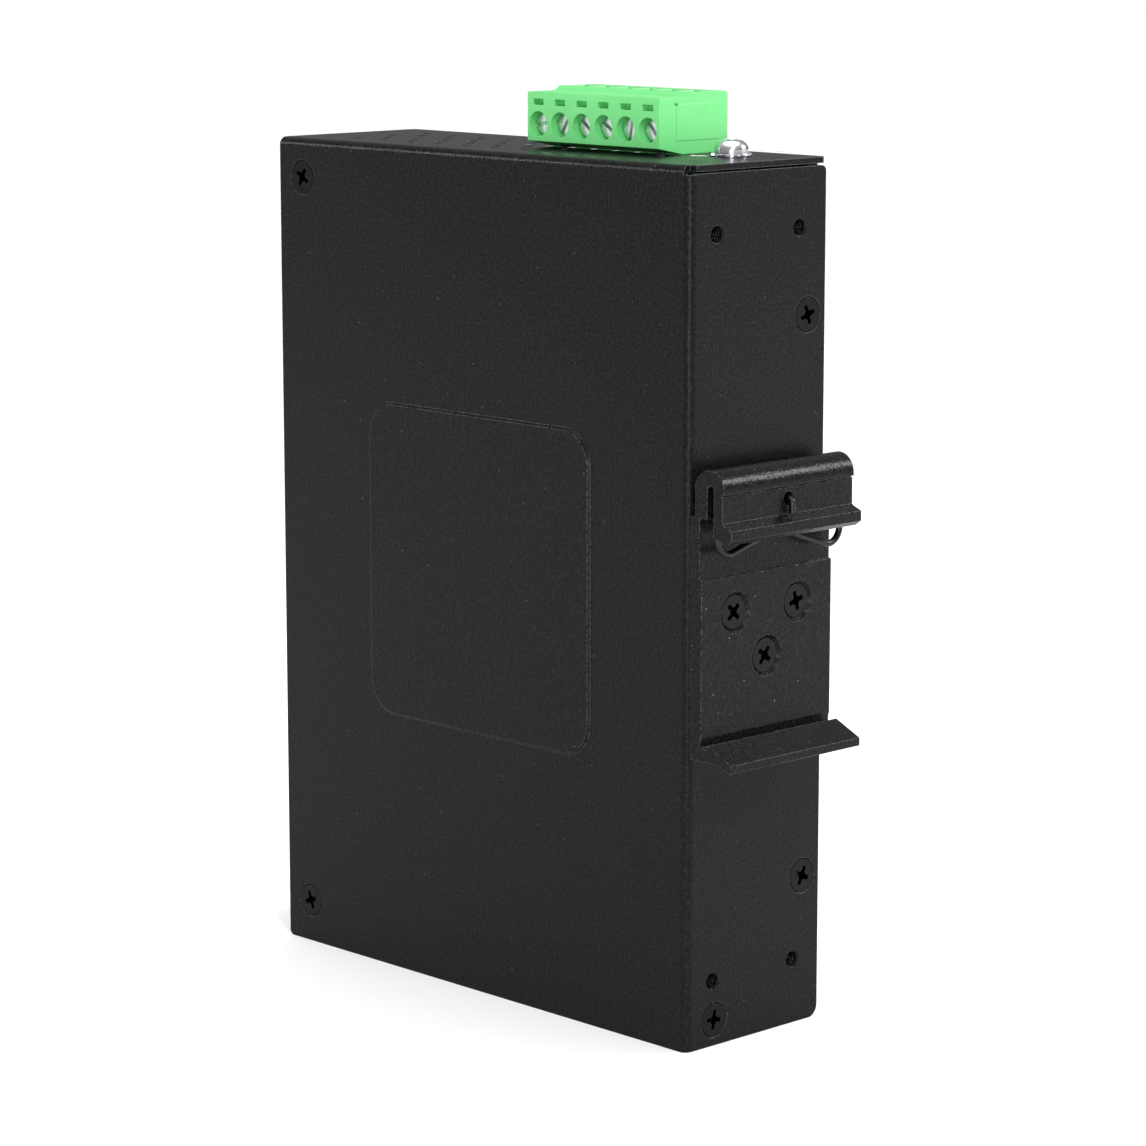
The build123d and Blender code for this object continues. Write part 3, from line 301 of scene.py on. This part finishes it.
@dataclass(frozen=True)
class PowderCoat(Finish):
    """Fine-texture polyester powder, baked on steel or aluminium.

    The texture breaks a reflection up into a soft grainy glow. Stray dust shows as pale specks,
    and a pale colour along each edge is partly worn thin coat and partly a painted highlight.
    """

    orange_peel_mm: float = 1.4
    orange_peel_height_mm: float = 0.012
    speck_mm: float = 2.2
    speck_share: float = 0.06
    speck_colour: str = "#707072"
    # Lighter colour on the grain's crests: partly the powder's own tone, partly a painted glint
    crest_glint_colour: str = "#1b1b1c"
    crest_glint_span: tuple[float, float] = (0.45, 0.72)
    # Pale edge colour: partly worn coat, partly a painted highlight along each edge
    edge_wear_and_highlight_colour: str = "#6a6a6c"
    edge_wear_and_highlight_span: tuple[float, float] = (0.985, 0.9)
    edge_wear_and_highlight_crest_span: tuple[float, float] = (0.35, 0.6)

    def dress(
        self,
        tree: bpy.types.NodeTree,
        place: bpy.types.NodeSocket,
        shader: bpy.types.Node,
    ) -> None:
        """Feeds grain, peel and specks, a painted glint on crests, and pale edges: wear and painted
        highlight.
        """
        grain = self.noise(tree, place, self.grain_mm, 2.0)
        peel = self.noise(tree, place, self.orange_peel_mm, 1.0)
        cells = add_node(tree, "TexVoronoi", {"Vector": place, "Scale": per_metre(self.speck_mm)})
        reach = add_node(
            tree, "Math", {0: cells.outputs["Color"], 1: self.speck_share}, operation="MULTIPLY"
        )
        speck = add_node(
            tree, "Math", {0: cells.outputs["Distance"], 1: reach.outputs[0]}, operation="LESS_THAN"
        )
        # Crests painted lighter: the powder's own tone and a painted glint
        crest = ramp(tree, grain, self.crest_glint_span)
        colour = mixed(tree, crest, self.clouded(tree, place), linear(self.crest_glint_colour))
        colour = mixed(tree, speck.outputs[0], colour, linear(self.speck_colour))
        # Pale edges: worn coat and a painted highlight along the edge
        colour = mixed(tree, self.edge_wear_and_highlight(tree, grain), colour, linear(self.edge_wear_and_highlight_colour))
        tree.links.new(colour, shader.inputs["Base Color"])
        tree.links.new(self.spread(tree, grain), shader.inputs["Roughness"])
        coarse = self.raised(tree, peel, self.orange_peel_height_mm)
        fine = self.raised(tree, grain, self.grain_height_mm, coarse)
        tree.links.new(fine, shader.inputs["Normal"])

    def edge_wear_and_highlight(
        self, tree: bpy.types.NodeTree, grain: bpy.types.NodeSocket
    ) -> bpy.types.NodeSocket:
        """Share painted pale along an edge: worn coat and painted highlight, broken up by grain.

        Args:
            tree: the material's node tree.
            grain: the powder's grain.

        Returns:
            A share from 0 on a face to 1 on the grain's crests at an edge.
        """
        flat = add_node(tree, "NewGeometry").outputs["Normal"]
        inputs = {0: self.softened(tree), 1: flat}
        facing = add_node(tree, "VectorMath", inputs, operation="DOT_PRODUCT").outputs["Value"]
        near = ramp(tree, facing, self.edge_wear_and_highlight_span)
        crest = ramp(tree, grain, self.edge_wear_and_highlight_crest_span)
        return add_node(tree, "Math", {0: near, 1: crest}, operation="MULTIPLY").outputs[0]


@dataclass(frozen=True)
class DrawnMetal(Finish):
    """Metal that was drawn, rolled or brushed along one direction.

    Its reflections stretch into fine streaks along that direction.
    """

    along: tuple[float, float, float] = (1.0, 0.0, 0.0)
    streak_ratio: float = 18.0

    def dress(
        self,
        tree: bpy.types.NodeTree,
        place: bpy.types.NodeSocket,
        shader: bpy.types.Node,
    ) -> None:
        """Feeds streaks that run along the draw."""
        stretch = tuple(1 - a * (1 - 1 / self.streak_ratio) for a in self.along)
        drawn = add_node(tree, "Mapping", {"Vector": place, "Scale": stretch}).outputs["Vector"]
        super().dress(tree, drawn, shader)


@dataclass(frozen=True)
class MouldedPlastic(Finish):
    """Injection-moulded plastic with the fine eroded skin of its tool.

    A little light goes into it, which keeps its shadows from going black.
    """

    depth_mm: float = 0.8
    glow: float = 0.0

    def dress(
        self,
        tree: bpy.types.NodeTree,
        place: bpy.types.NodeSocket,
        shader: bpy.types.Node,
    ) -> None:
        """Feeds the moulded skin and the light that goes in."""
        super().dress(tree, place, shader)
        shader.inputs["Subsurface Weight"].default_value = self.glow
        shader.inputs["Subsurface Scale"].default_value = self.depth_mm * MM


@dataclass(frozen=True)
class SolderMask(Finish):
    """Green solder resist over etched copper.

    The tracks stand up under it and show through a little paler.
    """

    track_colour: str = "#1f6b45"
    track_pitch_mm: float = 1.27
    track_height_mm: float = 0.035
    track_gap: float = 0.3
    track_length: float = 9.0

    def dress(
        self,
        tree: bpy.types.NodeTree,
        place: bpy.types.NodeSocket,
        shader: bpy.types.Node,
    ) -> None:
        """Feeds tracks that run between staggered pads."""
        flat = add_node(tree, "SeparateXYZ", {"Vector": place})
        upright = add_node(
            tree, "CombineXYZ", {"X": flat.outputs["Z"], "Y": flat.outputs["Y"]}
        )
        inputs = {
            "Vector": upright.outputs["Vector"],
            "Color1": (1.0, 1.0, 1.0, 1.0),
            "Color2": (0.6, 0.6, 0.6, 1.0),
            "Mortar": (0.0, 0.0, 0.0, 1.0),
            "Scale": per_metre(self.track_pitch_mm),
            "Mortar Size": self.track_gap,
            "Brick Width": self.track_length,
            "Row Height": 1.0,
        }
        tracks = add_node(tree, "TexBrick", inputs).outputs["Color"]
        colour = mixed(tree, tracks, self.clouded(tree, place), linear(self.track_colour))
        tree.links.new(colour, shader.inputs["Base Color"])
        shader.inputs["Roughness"].default_value = self.roughness
        relief = self.raised(tree, tracks, self.track_height_mm)
        tree.links.new(relief, shader.inputs["Normal"])


class Slot(Enum):
    """Material slots of the record, each with the finish that it stands for."""

    # Polyester powder, matt fine texture: black, and the texture scatters the studio softly
    POWDER_COAT = PowderCoat(
        "powder_coated_steel", "#09090a", "#0c0c0d", 0.3, 0.1, specular=0.1,
        grain_mm=0.5, grain_height_mm=0.07, cloud_mm=30.0, edge_mm=0.2,
    )
    # The clip's extrusion has the same powder a little glossier, so its arch glows brighter
    BLACK_CLIP = PowderCoat(
        "powder_coated_aluminium", "#0a0a0b", "#0d0d0e", 0.27, 0.08, specular=0.1,
        grain_mm=0.45, grain_height_mm=0.08, cloud_mm=18.0, edge_mm=0.18,
        # Pale edge colour: worn coat and a painted highlight along the edges
        speck_mm=1.8, speck_share=0.08, edge_wear_and_highlight_colour="#5e5e60",
    )
    # Black zinc on steel: a dark metal, glossier than the powder round it
    BLACK_SCREW = DrawnMetal(
        "black_zinc_plated_steel", "#1b1b1c", "#232324", 0.2, 0.08, metallic=1.0,
        grain_mm=0.25, cloud_mm=3.0, edge_mm=0.12, along=(0.0, 0.0, 0.0),
    )
    # Phosphated spring wire, drawn through a die
    SPRING_WIRE = Finish(
        "phosphated_spring_steel", "#2a2a2c", "#353538", 0.38, 0.1, metallic=1.0,
        grain_mm=0.2, cloud_mm=4.0,
    )
    # Bright zinc plate: mirror-like with a faint blue cast
    ZINC = Finish(
        "bright_zinc_plated_steel", "#cdced4", "#dddee2", 0.2, 0.08, metallic=1.0,
        grain_mm=0.5, grain_height_mm=0.006, cloud_mm=2.5, edge_mm=0.1,
    )
    # Polyamide 66, moulded in a spark-eroded tool
    GREEN_PLASTIC = MouldedPlastic(
        "green_polyamide", "#66cd76", "#5fc66f", 0.42, 0.06, ior=1.53, specular=0.65,
        grain_mm=0.35, grain_height_mm=0.004, cloud_mm=9.0, edge_mm=0.14, glow=0.12,
    )
    NICKEL = Finish(
        "nickel_plated_brass", "#c9c6bf", "#d8d5ce", 0.26, 0.07, metallic=1.0,
        grain_mm=0.4, cloud_mm=3.0,
    )
    TIN = Finish(
        "tinned_copper_alloy", "#cfcfcd", "#bfbfbc", 0.32, 0.08, metallic=1.0,
        grain_mm=0.4, cloud_mm=2.0,
    )
    # Glass-filled polyester, black
    BLACK_PLASTIC = MouldedPlastic(
        "black_polyester_plastic", "#1b1b1d", "#202022", 0.4, 0.08, ior=1.57,
        grain_mm=0.3, grain_height_mm=0.003,
    )
    BOARD_GREEN = SolderMask(
        "solder_mask_on_glass_epoxy", "#12492d", "#0f4028", 0.3, ior=1.55,
    )
    GOLD = DrawnMetal(
        "gold_flashed_bronze", "#d8b264", "#e0bd74", 0.24, 0.06, metallic=1.0,
        grain_mm=0.15, along=(0.0, 1.0, 0.0),
    )
    CLEAR_LENS = MouldedPlastic(
        "diffused_epoxy_lens", "#cfe0c6", "#c5d8bb", 0.28, 0.05, ior=1.53,
        grain_mm=0.5, glow=0.35, depth_mm=1.5,
    )
    CHIP_BLACK = MouldedPlastic(
        "moulded_epoxy_compound", "#202022", "#262628", 0.55, 0.06, ior=1.55, grain_mm=0.15,
    )
    SILVER_FIN = DrawnMetal(
        "clear_anodised_aluminium", "#c6c7cb", "#d2d3d7", 0.36, 0.08, metallic=1.0,
        grain_mm=0.2, along=(0.0, 0.0, 1.0),
    )
    FERRITE = Finish(
        "sintered_ferrite", "#38383a", "#454547", 0.62, 0.08, grain_mm=0.18,
        grain_height_mm=0.012, ior=1.6,
    )
    BLUE_SLEEVE = MouldedPlastic(
        "shrink_sleeve", "#253f70", "#2b4780", 0.3, 0.05, ior=1.52, grain_mm=0.8,
    )
    BLUE_DISC = MouldedPlastic(
        "dipped_epoxy", "#27629c", "#2c6cab", 0.35, 0.06, ior=1.55, grain_mm=0.6,
        grain_height_mm=0.02,
    )
    YELLOW_TAPE = DrawnMetal(
        "polyester_tape", "#d9b13a", "#cfa52f", 0.38, 0.05, grain_mm=0.4, along=(0.0, 1.0, 0.0),
    )
    GREY_PAD = MouldedPlastic(
        "silicone_pad", "#8b8f94", "#83878c", 0.6, 0.05, ior=1.41, grain_mm=0.25,
    )


@dataclass
class Paintbox:
    """Builds each finish once, and dresses pieces with it."""

    built: dict[str, bpy.types.Material] = field(default_factory=dict)

    def material(self, finish: Finish) -> bpy.types.Material:
        """The finish's material, made at its first use."""
        if finish.name not in self.built:
            self.built[finish.name] = finish.build()
        return self.built[finish.name]

    def dress(self, piece: bpy.types.Object, finish: Finish) -> None:
        """Puts a finish on all of a piece.

        Args:
            piece: mesh object, from the frame or new.
            finish: what it is dressed with.
        """
        if not piece.material_slots:
            piece.data.materials.append(None)
        for place in piece.material_slots:
            place.material = self.material(finish)

    def dress_nodes(self, slot: Slot, *names: str) -> None:
        """Dresses nodes of the frame with their slot's finish.

        Args:
            slot: material slot.
            *names: the nodes.
        """
        for name in names:
            self.dress(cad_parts[name], slot.value)
            LOG.info("%s is dressed in %s", name, slot.value.name)


def new_piece(
    name: str,
    mesh: bmesh.types.BMesh,
    body: Body,
    smooth: bool = False,
) -> bpy.types.Object:
    """Makes an object that rides on a body from a finished mesh.

    Args:
        name: the piece's name.
        mesh: its faces, in metres; it is freed here.
        body: body that it moves with.
        smooth: whether its faces are shaded smooth.

    Returns:
        The new object.
    """
    bmesh.ops.recalc_face_normals(mesh, faces=mesh.faces)
    for face in mesh.faces:
        face.smooth = smooth
    data = bpy.data.meshes.new(name)
    mesh.to_mesh(data)
    mesh.free()
    piece = bpy.data.objects.new(name, data)
    bpy.context.scene.collection.objects.link(piece)
    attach(piece, body.value)
    LOG.info("%s has %d faces", name, len(data.polygons))
    return piece


def turned_to(wall: Wall, place: Vector) -> Matrix:
    """Matrix that lays a drawing, made facing +Z with +Y up, on a wall.

    Args:
        wall: the wall.
        place: where the drawing's middle goes, in metres.

    Returns:
        The matrix.
    """
    out, up = (Vector(v) for v in wall.value)
    across = up.cross(out)
    turn = Matrix((across, up, out)).transposed().to_4x4()
    return Matrix.Translation(place) @ turn


@dataclass
class TappedThread:
    """Screw thread inside a round hole, as a ridge that winds along the hole's wall."""

    bore_radius: float = 1.25 * MM
    entry: float = 0.35 * MM
    ridge: float = 0.14 * MM
    pitch: float = 0.5 * MM
    length: float = 1.6 * MM
    steps: int = 30
    root_share: float = 0.42
    crest_share: float = 0.06

    def wind(self, mesh: bmesh.types.BMesh, mouth: Vector, inward: Vector) -> None:
        """Adds the ridge of one hole.

        Args:
            mesh: mesh that gets the faces.
            mouth: middle of the hole's mouth.
            inward: unit direction into the hole.
        """
        side = inward.orthogonal().normalized()
        other = inward.cross(side)
        count = int(self.length / self.pitch * self.steps)
        crest_radius = self.bore_radius - self.ridge
        profile = (
            (self.bore_radius, -self.root_share),
            (crest_radius, -self.crest_share),
            (crest_radius, self.crest_share),
            (self.bore_radius, self.root_share),
        )
        rings = []
        for i in range(count + 1):
            angle = 2 * math.pi * i / self.steps
            depth = self.entry + self.pitch * (0.5 + i / self.steps)
            out = math.cos(angle) * side + math.sin(angle) * other
            spots = [mouth + out * r + inward * (depth + z * self.pitch) for r, z in profile]
            rings.append([mesh.verts.new(spot) for spot in spots])
        for near, far in zip(rings, rings[1:]):
            for a in range(len(near)):
                b = (a + 1) % len(near)
                mesh.faces.new((near[a], near[b], far[b], far[a]))
        mesh.faces.new(rings[0])
        mesh.faces.new(reversed(rings[-1]))


@dataclass
class PrintedMarks:
    """Pad-printed white marks: plain numbers and an earth mark."""

    thickness: float = 0.02 * MM
    lift: float = 0.012 * MM
    steps: int = 6

    def number(self, mesh: bmesh.types.BMesh, text: str, height: float, place: Matrix) -> None:
        """Adds a number.

        Args:
            mesh: mesh that gets the faces.
            text: the digits.
            height: height of a digit.
            place: where it goes, as turned_to gives it.
        """
        cap_share = 0.69
        curve = bpy.data.curves.new("digit", "FONT")
        curve.body = text
        curve.size = height / cap_share
        curve.align_x = "CENTER"
        curve.align_y = "CENTER"
        curve.extrude = self.thickness / 2
        curve.resolution_u = self.steps
        carrier = bpy.data.objects.new("digit", curve)
        data = bpy.data.meshes.new_from_object(carrier)
        data.transform(place @ Matrix.Translation((0, 0, self.lift)))
        mesh.from_mesh(data)
        bpy.data.objects.remove(carrier)
        bpy.data.curves.remove(curve)
        bpy.data.meshes.remove(data)

    def bar(
        self,
        mesh: bmesh.types.BMesh,
        middle: tuple[float, float],
        size: tuple[float, float],
        place: Matrix,
    ) -> None:
        """Adds a printed bar.

        Args:
            mesh: mesh that gets the faces.
            middle: its middle in the drawing.
            size: its width and height.
            place: where the drawing goes.
        """
        x, y = middle
        w, h = size[0] / 2, size[1] / 2
        low, high = self.lift - self.thickness / 2, self.lift + self.thickness / 2
        outline = ((x - w, y - h), (x + w, y - h), (x + w, y + h), (x - w, y + h))
        ring = [
            [mesh.verts.new(place @ Vector((a, b, z))) for a, b in outline] for z in (low, high)
        ]
        mesh.faces.new(reversed(ring[0]))
        mesh.faces.new(ring[1])
        for i in range(4):
            j = (i + 1) % 4
            mesh.faces.new((ring[0][i], ring[0][j], ring[1][j], ring[1][i]))


@dataclass
class Housing:
    """Folded cover and chassis with their screws, threads and print."""

    paint: Paintbox
    marks: PrintedMarks = field(default_factory=PrintedMarks)
    thread: TappedThread = field(default_factory=TappedThread)
    digit: float = 1.9 * MM
    pole_digit: float = 1.4 * MM
    bracket_spacing: float = 18.8 * MM
    bracket_heights: tuple[float, float] = (10.8 * MM, 131.05 * MM)
    print_gap: float = 2.2 * MM
    ports: int = 5
    poles: int = 6
    sheet: float = 1.0 * MM
    sheet_play: float = 0.1 * MM
    earth_place: tuple[float, float] = (5.4 * MM, 41.6 * MM)
    earth_stem: float = 1.2 * MM
    earth_line: float = 0.4 * MM
    earth_step: float = 0.72 * MM
    earth_bars: tuple[float, float, float] = (3.4 * MM, 2.2 * MM, 1.0 * MM)
    rating: str = "12 48"
    rating_digit: float = 1.8 * MM
    rating_place: tuple[float, float] = (-10.8 * MM, 41.6 * MM)

    def build(self) -> None:
        """Dresses the sheets and screws and adds threads and print."""
        self.paint.dress_nodes(Slot.POWDER_COAT, "cover", "chassis")
        self.paint.dress_nodes(Slot.BLACK_SCREW, "cover_side_screws", "cover_rear_screws")
        self.tap_holes()
        self.print_numbers()

    def tap_holes(self) -> None:
        """Winds a thread into the four bracket holes.

        Their mouths lie one sheet and its play outside the chassis' rear flange.
        """
        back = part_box("chassis")[1].y
        mesh = bmesh.new()
        mouth_y = back + self.sheet + self.sheet_play
        for side in (-1, 1):
            for z in self.bracket_heights:
                mouth = Vector((side * self.bracket_spacing / 2, mouth_y, z))
                self.thread.wind(mesh, mouth, Vector((0, -1, 0)))
        piece = new_piece("bracket_hole_threads", mesh, Body.HOUSING)
        self.paint.dress(piece, Slot.BLACK_SCREW.value)

    def print_numbers(self) -> None:
        """Prints the pole numbers on the top plate and the port numbers on the front."""
        mesh = bmesh.new()
        plug_low, plug_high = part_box("terminal_plug")
        top_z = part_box("cover")[1].z
        pitch = (plug_high.y - plug_low.y) / self.poles
        for i in range(self.poles):
            y = plug_low.y + (i + 0.5) * pitch
            place = Vector((plug_high.x + self.print_gap, y, top_z))
            self.marks.number(mesh, str(i + 1), self.pole_digit, turned_to(Wall.TOP, place))
        front_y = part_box("chassis")[0].y
        for i in range(self.ports):
            low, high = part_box(f"rj45_shield_{i + 1}")
            place = Vector((high.x + self.print_gap, front_y, (low.z + high.z) / 2))
            self.marks.number(mesh, str(self.ports - i), self.digit, turned_to(Wall.FRONT, place))
        place = turned_to(Wall.TOP, Vector((*self.rating_place, top_z)))
        self.marks.number(mesh, self.rating, self.rating_digit, place)
        self.earth_mark(mesh, top_z)
        piece = new_piece("printed_numbers", mesh, Body.HOUSING)
        self.paint.dress(piece, PRINT_INK)

    def earth_mark(self, mesh: bmesh.types.BMesh, top_z: float) -> None:
        """Prints the plain earth mark beside the ground screw.

        Args:
            mesh: mesh that gets the faces.
            top_z: height of the top plate.
        """
        place = turned_to(Wall.TOP, Vector((*self.earth_place, top_z)))
        line, stem = self.earth_line, self.earth_stem
        self.marks.bar(mesh, (0.0, stem / 2), (line, stem), place)
        for i, width in enumerate(self.earth_bars):
            self.marks.bar(mesh, (0.0, -i * self.earth_step), (width, line), place)


# White epoxy pad-print ink: thin, matt, a little greyed by the texture under it
PRINT_INK = Finish(
    "white_pad_print_ink", "#e4e4e0", "#cfcfcb", 0.6, 0.06, grain_mm=0.25, cloud_mm=1.5,
)


@dataclass
class RailClip:
    """Extruded rail clip with its wire spring and screws."""

    paint: Paintbox

    def build(self) -> None:
        """Dresses the clip."""
        self.paint.dress_nodes(Slot.BLACK_CLIP, "din_clip")
        self.paint.dress_nodes(Slot.SPRING_WIRE, "din_spring")
        self.paint.dress_nodes(Slot.BLACK_SCREW, "din_clip_screws")
        self.paint.dress_nodes(Slot.ZINC, "din_clip_nuts")


@dataclass
class GroundPoint:
    """Zinc-plated ground screw with its toothed washer and nut."""

    paint: Paintbox

    def build(self) -> None:
        """Dresses the screw, the washer and the nut."""
        self.paint.dress_nodes(Slot.ZINC, "ground_screw", "ground_washer", "ground_nut")


@dataclass
class PowerTerminal:
    """Six-pole plug with its clamps, and the header that it stands in."""

    paint: Paintbox

    def build(self) -> None:
        """Dresses the plug, its metal parts and the header."""
        self.paint.dress_nodes(Slot.GREEN_PLASTIC, "terminal_plug", "terminal_header")
        self.paint.dress_nodes(Slot.ZINC, "terminal_screws")
        self.paint.dress_nodes(Slot.NICKEL, "terminal_cages")
        self.paint.dress_nodes(Slot.TIN, "plug_contacts", "header_pins")


@dataclass
class Ports:
    """Column of shielded jacks with their contacts and lamps."""

    paint: Paintbox
    count: int = 5

    def build(self) -> None:
        """Dresses the jacks and the status lamps."""
        for i in range(1, self.count + 1):
            self.paint.dress_nodes(Slot.BLACK_PLASTIC, f"rj45_body_{i}")
            self.paint.dress_nodes(Slot.NICKEL, f"rj45_shield_{i}")
        self.paint.dress_nodes(Slot.GOLD, "rj45_contacts")
        self.paint.dress_nodes(Slot.CLEAR_LENS, "port_lamps", "status_lamps")
        self.paint.dress_nodes(Slot.BLACK_PLASTIC, "lamp_holder")


@dataclass
class MainBoard:
    """Board with its fixings and components."""

    paint: Paintbox
    port_transformers: int = 5
    inductors: int = 2
    capacitors: int = 4

    def build(self) -> None:
        """Dresses the board and everything on it."""
        dress = self.paint.dress_nodes
        dress(Slot.BOARD_GREEN, "main_board")
        dress(Slot.ZINC, "board_standoffs", "board_screws", "clock_crystal")
        dress(Slot.CHIP_BLACK, "switch_chip", "power_controller", "rectifier")
        dress(Slot.GREY_PAD, "thermal_pad")
        dress(Slot.SILVER_FIN, "heat_sink")
        dress(Slot.BLACK_PLASTIC, "fuse", "alarm_relay")
        dress(Slot.FERRITE, "transformer_core")
        dress(Slot.YELLOW_TAPE, "transformer_coil")
        dress(Slot.BLUE_DISC, "surge_arresters")
        for i in range(1, self.port_transformers + 1):
            dress(Slot.CHIP_BLACK, f"line_transformer_{i}")
        for i in range(1, self.inductors + 1):
            dress(Slot.FERRITE, f"power_inductor_{i}")
        for i in range(1, self.capacitors + 1):
            dress(Slot.BLUE_SLEEVE, f"input_capacitor_{i}")


@dataclass
class Viewpoint:
    """Camera at the photograph's viewing angle, measured on its 1146 pixel frame."""

    azimuth: float = math.radians(136.164)
    elevation: float = math.radians(10.165)
    roll: float = math.radians(-0.001)
    focal_pixels: float = 3793.5
    frame_pixels: int = 1146
    sensor: float = 36.0
    target: Vector = field(default_factory=lambda: Vector((0, 0, 71 * MM)))
    offset: Vector = field(default_factory=lambda: Vector((-5.07, -0.94, 641.75)) * MM)

    def build(self) -> None:
        """Sets the scene's camera."""
        a, e = self.azimuth, self.elevation
        back = Vector((math.sin(a) * math.cos(e), -math.cos(a) * math.cos(e), math.sin(e)))
        level = Vector((math.cos(a), math.sin(a), 0))
        below = (-back).cross(level)
        right = math.cos(self.roll) * level + math.sin(self.roll) * below
        down = math.cos(self.roll) * below - math.sin(self.roll) * level
        place = self.target - self.offset.x * right - self.offset.y * down + self.offset.z * back
        data = bpy.data.cameras.new("photo_camera")
        data.sensor_width = self.sensor
        data.lens = self.sensor * self.focal_pixels / self.frame_pixels
        camera = bpy.data.objects.new("photo_camera", data)
        turn = Matrix((right, -down, back)).transposed().to_4x4()
        camera.matrix_world = Matrix.Translation(place) @ turn
        bpy.context.scene.collection.objects.link(camera)
        bpy.context.scene.camera = camera


@dataclass
class Softbox:
    """Rectangular soft light that points at the middle of the part.

    Its angles are in degrees: azimuth 0 is in front and 90 at the side panel.
    """

    name: str
    azimuth: float
    elevation: float
    distance: float
    size: tuple[float, float]
    power: float
    colour: str = "#ffffff"
    target: tuple[float, float, float] = (0.0, 0.0, 0.08)

    def build(self) -> None:
        """Hangs the light."""
        a, e = math.radians(self.azimuth), math.radians(self.elevation)
        back = Vector((math.sin(a) * math.cos(e), -math.cos(a) * math.cos(e), math.sin(e)))
        data = bpy.data.lights.new(self.name, "AREA")
        data.shape = "RECTANGLE"
        data.size, data.size_y = self.size
        data.energy = self.power
        data.color = linear(self.colour)[:3]
        light = bpy.data.objects.new(self.name, data)
        light.location = Vector(self.target) + back * self.distance
        light.rotation_euler = back.to_track_quat("Z", "Y").to_euler()
        bpy.context.scene.collection.objects.link(light)


@dataclass
class Studio:
    """Plain pale floor under an even pale surround, with soft lights."""

    floor_size: float = 60.0
    floor_drop: float = 0.02 * MM
    floor_colour: str = "#f2f2f1"
    surround_colour: str = "#ffffff"
    rise: tuple[float, float] = (0.1, 0.7)
    horizon_strength: float = 0.1
    zenith_strength: float = 0.55
    sun_strength: float = 2.2
    sun_spread: float = 70.0
    # Key: bend of side and rear. Rims: arch of the clip, bend of side and top. Back: top plate
    lights: Sequence[Softbox] = (
        Softbox("key_softbox", 136.0, 4.0, 1.3, (0.25, 0.4), 7.0),
        Softbox("rear_fill_softbox", 224.0, 5.0, 1.2, (0.6, 0.3), 0.3),
        Softbox("rear_rim_softbox", 234.0, 29.0, 1.0, (0.25, 0.25), 7.0),
        Softbox("side_rim_softbox", 38.0, 21.0, 1.0, (0.15, 0.15), 2.6),
        Softbox("back_softbox", 316.0, 13.0, 2.2, (1.6, 0.4), 0.5),
        Softbox("recess_softbox", 150.0, 40.0, 1.0, (0.12, 0.12), 3.0),
    )

    def build(self) -> None:
        """Lays the floor, lights it and sets the surround."""
        half = self.floor_size / 2
        mesh = bmesh.new()
        corners = [(-half, -half), (half, -half), (half, half), (-half, half)]
        mesh.faces.new([mesh.verts.new((x, y, -self.floor_drop)) for x, y in corners])
        data = bpy.data.meshes.new("floor")
        mesh.to_mesh(data)
        mesh.free()
        floor = bpy.data.objects.new("floor", data)
        bpy.context.scene.collection.objects.link(floor)
        paper = Finish("matt_paper_backdrop", self.floor_colour, self.floor_colour, 0.9, 0.02,
                       specular=0.1, grain_mm=2.0, cloud_mm=400.0)
        data.materials.append(paper.build())
        world = bpy.data.worlds.new("surround")
        world.use_nodes = True
        tree = world.node_tree
        tree.nodes.clear()
        direction = add_node(tree, "TexCoord").outputs["Generated"]
        height = add_node(tree, "SeparateXYZ", {"Vector": direction}).outputs["Z"]
        low, high = self.rise
        inputs = {
            "Value": height,
            "From Min": low,
            "From Max": high,
            "To Min": self.horizon_strength,
            "To Max": self.zenith_strength,
        }
        strength = add_node(tree, "MapRange", inputs).outputs["Result"]
        inputs = {"Color": linear(self.surround_colour), "Strength": strength}
        sky = add_node(tree, "Background", inputs)
        add_node(tree, "OutputWorld", {"Surface": sky.outputs["Background"]})
        bpy.context.scene.world = world
        bpy.context.scene.view_settings.view_transform = "Standard"
        data = bpy.data.lights.new("ceiling", "SUN")
        data.energy = self.sun_strength
        data.angle = math.radians(self.sun_spread)
        bpy.context.scene.collection.objects.link(bpy.data.objects.new("ceiling", data))
        for light in self.lights:
            light.build()


def main() -> None:
    """Builds the scene, part by part."""
    logging.basicConfig(level=logging.INFO, format="%(message)s")
    paint = Paintbox()
    Viewpoint().build()
    Studio().build()
    sections: Iterable[Any] = (
        Housing(paint),
        RailClip(paint),
        GroundPoint(paint),
        PowerTerminal(paint),
        Ports(paint),
        MainBoard(paint),
    )
    for section in sections:
        section.build()
        LOG.info("%s is done", type(section).__name__)


if __name__ == "__main__":
    main()
